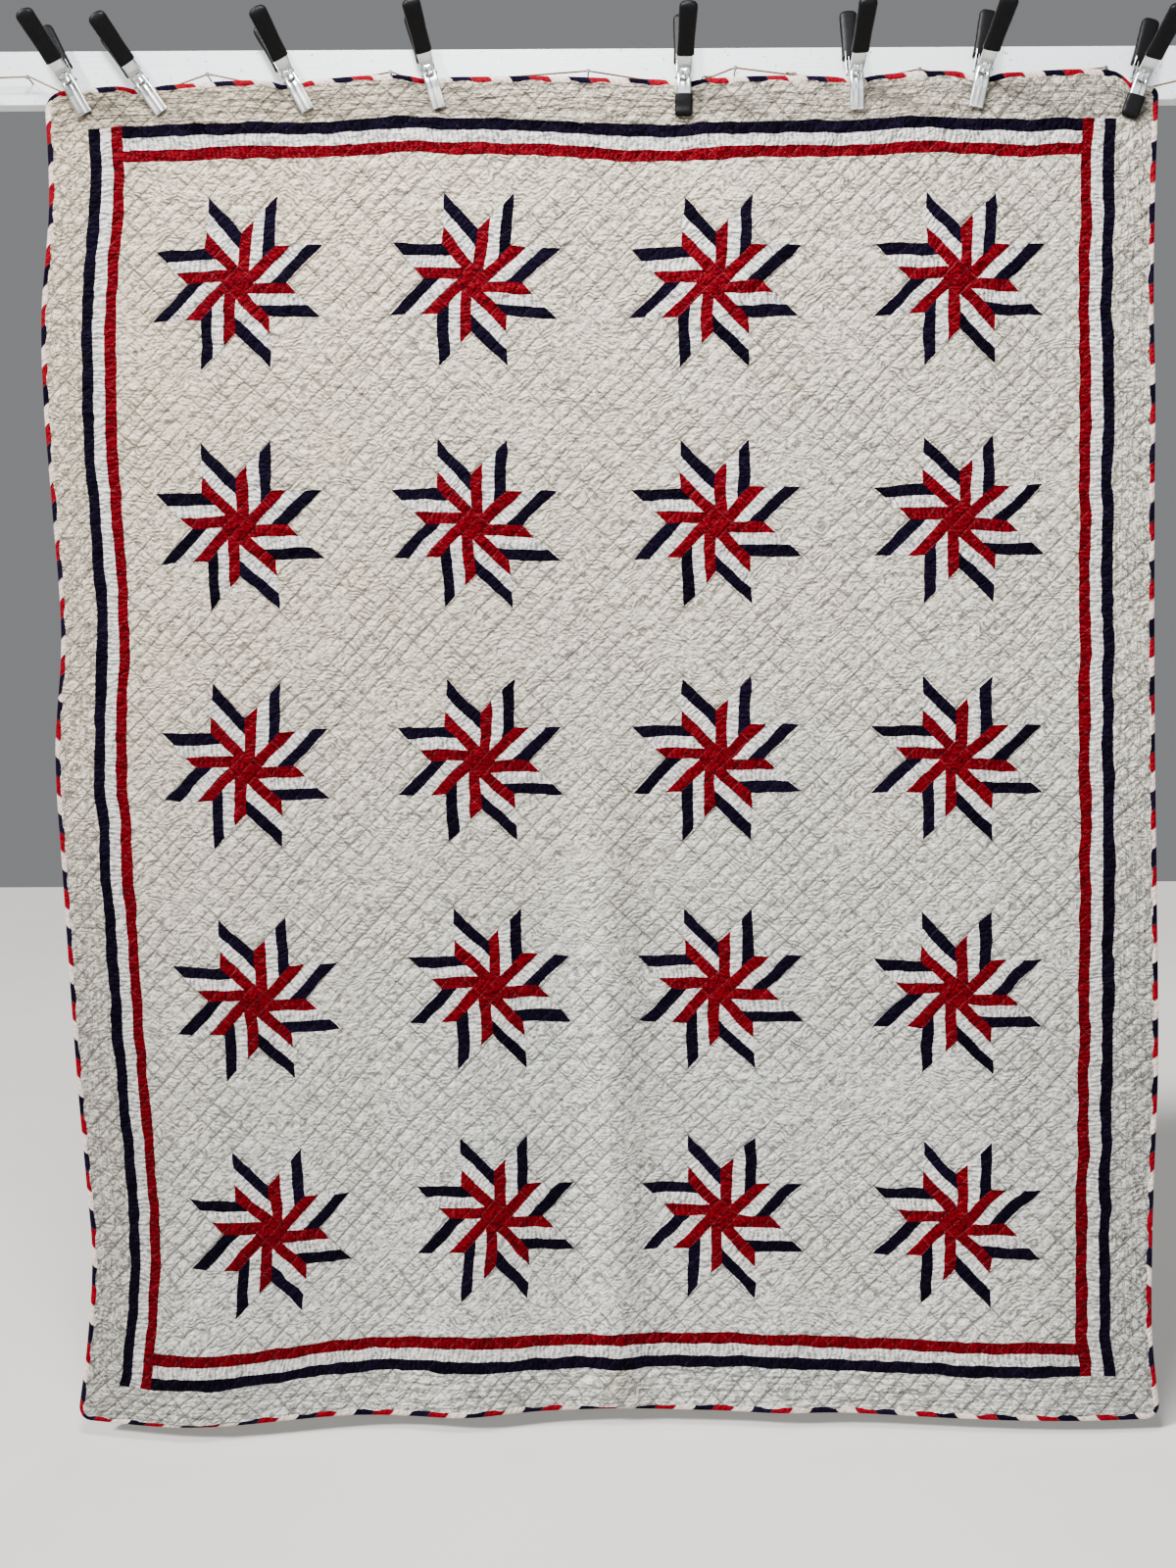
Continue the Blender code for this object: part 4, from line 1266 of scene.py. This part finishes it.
# %% The clamps' sizes, as the solids have them
STEEL_WIDTH = 0.0245
GRIP_WIDTH = 0.029
CAP_WIDTH = 0.029
CAP_LENGTH = 0.030
HANDLE_LENGTH = 0.116
HANDLE_OFF_SPRING = 0.002
GRIP_START = 0.036
THROAT = 0.011
JAW_BEND_INNER = 0.0075
FLANGE_DEPTHS = (0.0028, 0.0035, 0.0045, 0.0060, 0.0070, 0.0080, 0.0115, 0.0115, 0.0105,
                 0.0090)
ClampArm = namedtuple("ClampArm", "name side handle_deg pad width")
CLAMP_ARMS = (
    ClampArm("front", side=1, handle_deg=60.0, pad=CROWN_FORWARD + FIT_GAP,
             width=STEEL_WIDTH),
    ClampArm("rear", side=-1, handle_deg=2.0, pad=BACK_BEHIND + FIT_GAP,
             width=STEEL_WIDTH - 0.0030),
)


def handle_point(along, handle_deg, cap, lift=0.0):
    """A place on the handle's inner line: how high it is and how far off the cloth."""
    slant = math.radians(handle_deg)
    height = PIVOT_HEIGHT + cap + along * math.cos(slant) - lift * math.sin(slant)
    off = SPRING_RADIUS + HANDLE_OFF_SPRING + along * math.sin(slant)
    return height, off + lift * math.cos(slant)


def outer_line(arm, cap):
    """The arm's outer face from the jaw's tip to under the grip: heights and offs."""
    inside_cap = 0.0015 if cap else 0.0
    return [
        (inside_cap, arm.pad + 0.0045),
        (0.006, arm.pad + 0.0062),
        (0.012, arm.pad + 0.0080),
        (CAP_LENGTH, 0.0150),
        (0.040 + cap, THROAT + 0.007),
        (0.053 + cap, THROAT + 0.008),
        (PIVOT_HEIGHT + cap, SPRING_RADIUS + 0.012),
        handle_point(0.018, arm.handle_deg, cap, 0.012),
        handle_point(GRIP_START - 0.004, arm.handle_deg, cap, 0.0115),
        handle_point(GRIP_START + 0.010, arm.handle_deg, cap, 0.0080),
    ]


print("arms to press:", len(CLAMPS) * len(CLAMP_ARMS))

# %% Press one arm out of a sheet
ARM_ROWS = 54
ARM_COLUMNS = 18
FOLDED_COLUMNS = 4
FOLD_ROUND = 0.0012
STEEL_THICKNESS = 0.0011
WINDOW_HALF_WIDTH = 0.0068
WINDOWS_PAST_PIN = ((-0.0120, -0.0072), (0.0052, 0.0092))
WINDOW_SAG = 0.0052
EAR_REACH = 0.0050


def on_clamp(clamp, side):
    """From a clamp's own place (across, off the cloth, height) to the frame."""
    lean = Matrix.Rotation(-math.radians(clamp.lean_deg), 4, "Y")
    place = Matrix.Translation((clamp.tip_across, CLOTH_Y, clamp.tip_height))
    return place @ lean @ Matrix.Diagonal((1, -side, 1, 1))


def unit_grid(bm, columns, rows):
    """A grid of vertices keyed by column and row."""
    made = bmesh.ops.create_grid(bm, x_segments=columns, y_segments=rows, size=0.5)
    return {(round((v.co.x + 0.5) * columns), round((v.co.y + 0.5) * rows)): v
            for v in made["verts"]}


def spread_along(points, count):
    """Even steps along a bent line, with its corners eased."""
    line = np.array(points)
    lengths = np.concatenate([[0.0], np.cumsum(np.linalg.norm(np.diff(line, axis=0),
                                                              axis=1))])
    at = np.linspace(0, lengths[-1], count)
    eased = [np.interp(at, lengths, line[:, i]) for i in range(line.shape[1])]
    kernel = np.array([1, 2, 3, 2, 1]) / 9
    return np.stack([np.convolve(np.pad(e, 2, mode="edge"), kernel, "valid")
                     for e in eased], axis=1)


def pressed_arm(clamp, arm):
    """The steel of one arm."""
    rows = [(*place, depth) for place, depth in zip(outer_line(arm, clamp.cap),
                                                    FLANGE_DEPTHS)]
    line = spread_along(rows, ARM_ROWS + 1)
    steps = np.linalg.norm(np.diff(line[:, :2], axis=0), axis=1)
    reach = np.concatenate([[0.0], np.cumsum(steps)])
    pin = (PIVOT_HEIGHT + clamp.cap, SPRING_RADIUS + 0.012)
    past_pin = reach - reach[np.argmin(np.linalg.norm(line[:, :2] - pin, axis=1))]
    bm = bmesh.new()
    across_layer = bm.verts.layers.float_vector.new("on_arm")
    grid = unit_grid(bm, ARM_COLUMNS, ARM_ROWS)
    half = arm.width / 2 - STEEL_THICKNESS / 2
    for (column, row), vert in grid.items():
        along = past_pin[row]
        side = -1 if column < ARM_COLUMNS / 2 else 1
        from_edge = min(column, ARM_COLUMNS - column)
        web = max(from_edge - FOLDED_COLUMNS, 0) / (ARM_COLUMNS / 2 - FOLDED_COLUMNS)
        narrow = 1 - 0.10 * math.exp(-((along / 0.014) ** 2))
        across = half * narrow
        if from_edge >= FOLDED_COLUMNS:
            across = (half - FOLD_ROUND) * narrow * (1 - web)
        shear = max(0.0, 1 - across / (half * 0.86))
        near_pin = math.exp(-(((along + 0.001) / 0.015) ** 4))
        sagged = along - WINDOW_SAG * shear * near_pin
        height, off, depth = [np.interp(sagged, past_pin, line[:, i]) for i in range(3)]
        if from_edge < FOLDED_COLUMNS:
            share = 1 - from_edge / FOLDED_COLUMNS
            ear = math.exp(-((along / EAR_REACH) ** 4))
            inner = off - depth
            inner += (-0.003 - inner) * ear
            off_here = off - FOLD_ROUND - (off - FOLD_ROUND - inner) * share
        else:
            share_in = across / half
            above = max(along / 0.018, 0.0)
            panel = min(0.12 + 0.60 * above, 0.80)
            raised = 1 / (1 + math.exp((share_in - panel) * 22))
            crown = 0.0011 * raised - 0.0006 * (1 - raised) * (1 - share_in)
            off_here = off + crown
        if column == ARM_COLUMNS / 2:
            across = 0.0
        vert[across_layer] = (side * across, line[row][0], along)
        vert.co = (side * across, off_here, height)
    holes = []
    for face in bm.faces:
        middle = sum((vert[across_layer] for vert in face.verts), Vector()) / 4
        inside = abs(middle.x) < WINDOW_HALF_WIDTH
        if inside and any(low < middle.z < high for low, high in WINDOWS_PAST_PIN):
            holes.append(face)
    bmesh.ops.delete(bm, geom=holes, context="FACES")
    bmesh.ops.recalc_face_normals(bm, faces=bm.faces)
    faces_out = sum(face.normal.y for face in bm.faces)
    if faces_out < 0:
        bmesh.ops.reverse_faces(bm, faces=bm.faces)
    bmesh.ops.transform(bm, matrix=on_clamp(clamp, arm.side), verts=bm.verts)
    if arm.side == 1:
        bmesh.ops.reverse_faces(bm, faces=bm.faces)
    return mesh_of(bm, f"clamp_{arm.name}")


# %% [markdown]
# A vinyl grip is dipped on, so it is a soft sleeve with a round end. A tube of rings
# with a slightly square section, closed by rings that shrink to a dome, gives that; a
# bevelled box would keep flat faces that the real sleeve doesn't have. The jaws of two
# clamps wear short caps of the same vinyl, made by the same function.

# %% Sleeves of vinyl
SLEEVE_SIDES = 24
SQUARENESS = 0.62
GRIP_STEPS = 26
GRIP_DEPTH = 0.015
GRIP_ROUND = 0.009
CAP_STEPS = 16
CAP_ROUND = 0.005


def sleeve(stations):
    """Rings of a soft box section, filled at both ends."""
    bm = bmesh.new()
    rows = len(stations) - 1
    grid = unit_grid(bm, SLEEVE_SIDES, rows)
    for (column, row), vert in grid.items():
        height, off, depth, width, tilt = stations[row]
        angle = 2 * math.pi * column / SLEEVE_SIDES
        cosine = math.cos(angle)
        sine = math.sin(angle)
        a = math.copysign(abs(cosine) ** SQUARENESS, cosine) * width / 2
        lift = depth / 2 + math.copysign(abs(sine) ** SQUARENESS, sine) * depth / 2
        vert.co = (a, off + lift * math.cos(tilt), height - lift * math.sin(tilt))
    bmesh.ops.remove_doubles(bm, verts=bm.verts, dist=0.00002)
    open_edges = [edge for edge in bm.edges if edge.is_boundary]
    bmesh.ops.holes_fill(bm, edges=open_edges, sides=SLEEVE_SIDES + 1)
    bmesh.ops.recalc_face_normals(bm, faces=bm.faces)
    return bm


def dome(share):
    """How wide a round end still is when it is that far closed."""
    return math.sqrt(max(1 - share**2, 0.0))


def grip_stations(arm, cap):
    """Rings of a grip, from its rolled mouth to its round end."""
    stations = []
    for i in range(GRIP_STEPS + 1):
        along = GRIP_START + (HANDLE_LENGTH - GRIP_START) * i / GRIP_STEPS
        closing = max((along - HANDLE_LENGTH) / GRIP_ROUND + 1, 0.0)
        size = max(dome(closing), 0.18)
        mouth = 1.0 + 0.05 * math.exp(-(((along - GRIP_START - 0.002) / 0.0022) ** 2))
        waist = 1 - 0.06 * math.exp(-(((along - 0.060) / 0.022) ** 2))
        depth = GRIP_DEPTH * size * mouth * waist
        height, off = handle_point(along, arm.handle_deg, cap, (GRIP_DEPTH - depth) / 2)
        width = GRIP_WIDTH * size * waist
        stations.append((height, off, depth, width, math.radians(arm.handle_deg)))
    return stations


def cap_stations(arm):
    """Rings of a jaw's cap, from its mouth to its round end at the tip."""
    stations = []
    for i in range(CAP_STEPS + 1):
        height = (CAP_LENGTH - FIT_GAP) * (1 - i / CAP_STEPS)
        closing = max(1 - height / CAP_ROUND, 0.0)
        size = max(dome(closing), 0.3)
        full = 0.0085 + 0.0025 * min(height / 0.02, 1.0)
        depth = full * (0.45 + 0.55 * size)
        off = arm.pad + (JAW_BEND_INNER - arm.pad) * max(height - 0.012, 0.0) / 0.018
        stations.append((height, off, depth, CAP_WIDTH * (0.8 + 0.2 * size), 0.0))
    return stations


# %% Coils and pins
SPRING_WIRE = 0.0009
SPRING_TURNS = 5
STEPS_A_TURN = 20
LEG_LENGTH = 0.034
PIN_RADIUS = 0.0019


def spring_line():
    """Down inside the front handle, round the pin a few times, up the rear one."""
    turn_radius = COIL_RADIUS - SPRING_WIRE
    half = COIL_HALF_LENGTH - SPRING_WIRE
    front = math.radians(CLAMP_ARMS[0].handle_deg)
    rear = math.radians(CLAMP_ARMS[1].handle_deg)
    total = math.pi - front + rear + 2 * math.pi * SPRING_TURNS
    steps = round(total / (2 * math.pi) * STEPS_A_TURN)
    coil = []
    for i in range(steps + 1):
        angle = -front - total * i / steps
        coil.append(Vector((half - 2 * half * i / steps, turn_radius * math.cos(angle),
                            turn_radius * math.sin(angle))))
    up_front = Vector((0, math.sin(front), math.cos(front))) * LEG_LENGTH
    up_rear = Vector((0, -math.sin(rear) - 0.10, math.cos(rear))) * LEG_LENGTH
    return [coil[0] + up_front, *coil, coil[-1] + up_rear]


def wire_mesh(name, points, wire_radius):
    """A round wire that follows points."""
    curve = line_curve(name, points)
    curve.bevel_depth = wire_radius
    curve.bevel_resolution = 2
    return curve_mesh(curve)


def coiled_spring(clamp):
    """The coil, its pin and the pin's two flat heads."""
    bm = bmesh.new()
    pin = Matrix.Rotation(math.pi / 2, 4, "Y")
    bmesh.ops.create_cone(bm, cap_ends=True, segments=16, radius1=PIN_RADIUS,
                          radius2=PIN_RADIUS, depth=STEEL_WIDTH + 0.0008, matrix=pin)
    for side in (-1, 1):
        head = Matrix.Translation((side * (STEEL_WIDTH / 2 + 0.0004), 0, 0))
        bmesh.ops.create_uvsphere(bm, u_segments=16, v_segments=8, radius=0.0032,
                                  matrix=head @ Matrix.Diagonal((0.35, 1, 1, 1)))
    coil = wire_mesh("coil", spring_line(), SPRING_WIRE)
    bm.from_mesh(coil)
    bpy.data.meshes.remove(coil)
    bmesh.ops.recalc_face_normals(bm, faces=bm.faces)
    lean = Matrix.Rotation(-math.radians(clamp.lean_deg), 4, "Y")
    mirror = Matrix.Diagonal((1, -1, 1, 1))
    bmesh.ops.transform(bm, matrix=Matrix.Translation(pivot_point(clamp)) @ lean @ mirror,
                        verts=bm.verts)
    bmesh.ops.reverse_faces(bm, faces=bm.faces)
    return mesh_of(bm, "spring")


print("points on a spring's line:", len(spring_line()))

# %% Zinc, spring steel and vinyl
steel = Finish("zinc_plated_steel", Metallic=1.0)
steel_place = steel.here()
on_arm = steel.kept("on_arm")
arm_across = steel.part(on_arm, "X")
arm_height = steel.part(on_arm, "Y")
plating = steel.noise(steel_place, 90.0, detail=4)
scratches = steel.noise(steel.stretched(steel_place, (1400, 1400, 90)), 1.0, detail=2)
steel_colour = steel.mix(plating, (0.46, 0.50, 0.52), (0.80, 0.82, 0.80))
jaw_face = (arm_height < 0.030) * (arm_height > 0.004)
dots = jaw_face * (saw(arm_across / 0.0042) * saw(arm_height / 0.0042)
                   * 4 > 0.42)
steel_colour = steel.mix(jaw_face * 0.55, steel_colour, (0.30, 0.27, 0.26))
steel.use(Base_Color=steel_colour, Roughness=0.20 + plating * 0.18 + jaw_face * 0.15,
          Height=dots * 0.0003 + scratches * 0.00004)

vinyl = Finish("black_vinyl", Specular_IOR_Level=0.10)
vinyl_place = vinyl.here()
vinyl_dip = vinyl.noise(vinyl_place, 130.0, detail=3)
vinyl_dust = vinyl.noise(vinyl_place, 900.0, detail=2)
vinyl.use(Base_Color=vinyl.mix(vinyl_dust, (0.0015, 0.0015, 0.0018), (0.0045, 0.0045, 0.0052)),
          Roughness=0.36 + vinyl_dip * 0.2, Height=vinyl_dip * 0.0004)

spring_steel = Finish("spring_steel", Metallic=1.0)
spring_place = spring_steel.here()
spring_oil = spring_steel.noise(spring_place, 300.0, detail=2)
spring_steel.use(Base_Color=spring_steel.mix(spring_oil, (0.22, 0.22, 0.23),
                                             (0.48, 0.48, 0.50)),
                 Roughness=0.25 + spring_oil * 0.2)

# %% Put the clamps together
def dip(name, stations, clamp, arm, node):
    """Put one vinyl sleeve on a clamp's arm."""
    bm = sleeve(stations)
    bmesh.ops.transform(bm, matrix=on_clamp(clamp, arm.side), verts=bm.verts)
    bmesh.ops.recalc_face_normals(bm, faces=bm.faces)
    add_piece(name, mesh_of(bm, name), vinyl.material, [node])


for number, clamp in enumerate(CLAMPS, 1):
    for arm in CLAMP_ARMS:
        label = f"clamp_{number}_{arm.name}"
        channel = add_piece(label + "_channel", pressed_arm(clamp, arm), steel.material,
                            [label + "_arm"])
        sheet = channel.modifiers.new("sheet", "SOLIDIFY")
        sheet.thickness = STEEL_THICKNESS
        sheet.offset = -1.0
        sheet.use_even_offset = False
        dip(label + "_sleeve", grip_stations(arm, clamp.cap), clamp, arm, label + "_grip")
        if clamp.cap:
            dip(label + "_tip", cap_stations(arm), clamp, arm, label + "_cap")
    add_piece(f"clamp_{number}_coil", coiled_spring(clamp), spring_steel.material,
              [f"clamp_{number}_spring"])
print("clamps put together:", len(CLAMPS))

# %% [markdown]
# A nail is turned, so its outline is spun round. The twine bends over each shank, so
# the shank sits just inside the bend; the same sum as for the solid finds its middle.

# %% Nails
NAIL_RADIUS = 0.0014
NAIL_HEAD_RADIUS = 0.0036
NAIL_REACH = 0.021
RAIL_DEPTH = 0.019
NAIL_PROFILE = (
    (0.0, 0.0), (NAIL_RADIUS, 0.0), (NAIL_RADIUS, 0.0192), (0.0022, 0.0197),
    (0.0033, 0.0198), (NAIL_HEAD_RADIUS, 0.0201), (0.0034, 0.0206), (0.0022, 0.0209),
    (0.0, NAIL_REACH),
)
nail_steel = Finish("nail_steel", Metallic=0.7)
nail_texture = nail_steel.noise(nail_steel.here(), 800.0)
nail_steel.use(Base_Color=nail_steel.mix(nail_texture, (0.045, 0.047, 0.050),
                                         (0.16, 0.165, 0.17)),
               Roughness=0.45 + nail_texture * 0.25, Height=nail_texture * 0.0001)


def nail_place(nail, bends):
    """The middle of a nail, across and up, in the bend of twine that it holds up."""
    here = min(range(len(bends)), key=lambda i: abs(bends[i].x - nail.across))
    reach = TWINE_RADIUS + NAIL_RADIUS + FIT_GAP
    inwards = Vector((0, -1))
    half_bend_sine = 1.0
    if 0 < here < len(bends) - 1:
        left = (bends[here - 1] - bends[here]).xz.normalized()
        right = (bends[here + 1] - bends[here]).xz.normalized()
        inwards = (left + right).normalized()
        half_bend_sine = math.sqrt((1 - left.dot(right)) / 2)
    return bends[here].xz + inwards * reach / half_bend_sine


bends = twine_route()
for number, nail in enumerate(NAILS, 1):
    bm = bmesh.new()
    outline = [bm.verts.new((r, 0.0, h)) for r, h in NAIL_PROFILE]
    edges = [bm.edges.new(pair) for pair in zip(outline, outline[1:])]
    bmesh.ops.spin(bm, geom=outline + edges, cent=(0, 0, 0), axis=(0, 0, 1),
                   angle=2 * math.pi, steps=20, use_merge=True)
    bmesh.ops.remove_doubles(bm, verts=bm.verts, dist=0.00001)
    bmesh.ops.recalc_face_normals(bm, faces=bm.faces)
    middle = nail_place(nail, bends)
    place = Matrix.Translation((middle.x, -RAIL_DEPTH - FIT_GAP, middle.y))
    bmesh.ops.transform(bm, matrix=place @ Matrix.Rotation(math.pi / 2, 4, "X"),
                        verts=bm.verts)
    add_piece(f"nail_{number}_turned", mesh_of(bm, "nail"), nail_steel.material,
              [f"nail_{number}"])
print("nails:", len(NAILS))

# %% [markdown]
# The board is a planed plank with brushed white paint. Its arrises are eased, which is
# a bevel of every edge, and the brush leaves long low ridges with a few pits.

# %% The board
RAIL_SIZE = Vector((2.10, RAIL_DEPTH, 0.089))
ARRIS = 0.0016
bm = bmesh.new()
bmesh.ops.create_cube(bm, size=1.0)
bmesh.ops.scale(bm, vec=RAIL_SIZE, verts=bm.verts)
bmesh.ops.bevel(bm, geom=bm.edges[:], affect="EDGES", offset=ARRIS, segments=3,
                profile=0.5, material=-1)
bmesh.ops.translate(bm, vec=(0, -RAIL_SIZE.y / 2, 0), verts=bm.verts)
bmesh.ops.recalc_face_normals(bm, faces=bm.faces)
paint = Finish("white_paint", Specular_IOR_Level=0.4)
paint_place = paint.here()
brush = paint.noise(paint.stretched(paint_place, (5, 260, 260)), 1.0, detail=3)
pits = paint.noise(paint_place, 130.0, detail=2)
pits = paint.between(pits, 0.30, 0.24)
scuffs = paint.noise(paint_place, 9.0, detail=5, roughness=0.7)
paint_colour = paint.mix(scuffs, (0.60, 0.63, 0.65), (0.53, 0.555, 0.575))
paint_colour = paint.mix(pits, paint_colour, (0.30, 0.27, 0.24))
paint.use(Base_Color=paint_colour, Roughness=0.38 + brush * 0.2,
          Height=brush * 0.0006 - pits * 0.0008)
add_piece("rail_board", mesh_of(bm, "rail_board"), paint.material,
          ["rail"], smooth=False)
print("board, m:", tuple(RAIL_SIZE))

# %% [markdown]
# The floor is a plain pale stage, a little under the hem. One distant lamp from the
# upper left rakes over the quilting, as low light is what shows stitches; three wide
# lamps and a pale room keep the shade open.

# %% Floor and light
FLOOR_HEIGHT = -2.262
stage_finish = Finish("stage", Roughness=0.9)
stage_place = stage_finish.here()
stage_noise = stage_finish.noise(stage_place, 3.0, detail=3)
stage_finish.use(Base_Color=stage_finish.mix(stage_noise, (0.56, 0.55, 0.53),
                                             (0.60, 0.59, 0.57)))
bm = bmesh.new()
bmesh.ops.create_grid(bm, x_segments=2, y_segments=2, size=9.0)
bmesh.ops.translate(bm, vec=(0, 0, FLOOR_HEIGHT), verts=bm.verts)
floor_mesh = mesh_of(bm, "floor")
floor_mesh.materials.append(stage_finish.material)
floor = bpy.data.objects.new("floor", floor_mesh)
bpy.context.scene.collection.objects.link(floor)


def hang_lamp(data, place, towards):
    """Put a lamp at a place, to shine from that side."""
    lamp = bpy.data.objects.new(data.name, data)
    turn = Vector(towards).to_track_quat("Z", "Y").to_matrix().to_4x4()
    lamp.matrix_world = Matrix.Translation(place) @ turn
    bpy.context.scene.collection.objects.link(lamp)


def soft_light(name, place, aim, size, watts, colour=(1, 1, 1)):
    """A large square lamp that faces a point."""
    data = bpy.data.lights.new(name, "AREA")
    data.shape = "SQUARE"
    data.size = size
    data.energy = watts
    data.color = colour
    hang_lamp(data, place, Vector(place) - Vector(aim))


sun = bpy.data.lights.new("key", "SUN")
sun.energy = 8.3
sun.angle = math.radians(7)
sun.color = (1.0, 0.985, 0.965)
hang_lamp(sun, (0, 0, 0), (-0.66, -0.48, 0.58))
soft_light("over_the_top", (-0.25, -1.35, 0.85), (0.1, 0.0, -1.0), 0.7, 120)
soft_light("fill", (1.5, -4.0, -0.6), (0.0, 0.0, -1.3), 3.0, 60, (0.93, 0.97, 1.0))
soft_light("from_behind", (0.5, 4.0, 1.0), (0.0, 0.0, -1.2), 3.0, 90)
world = bpy.data.worlds.new("pale_room")
world.use_nodes = True
world.node_tree.nodes["Background"].inputs["Color"].default_value = (0.90, 0.92, 0.95, 1)
world.node_tree.nodes["Background"].inputs["Strength"].default_value = 0.25
bpy.context.scene.world = world

# %% Bring the scene up to date
bpy.context.view_layer.update()
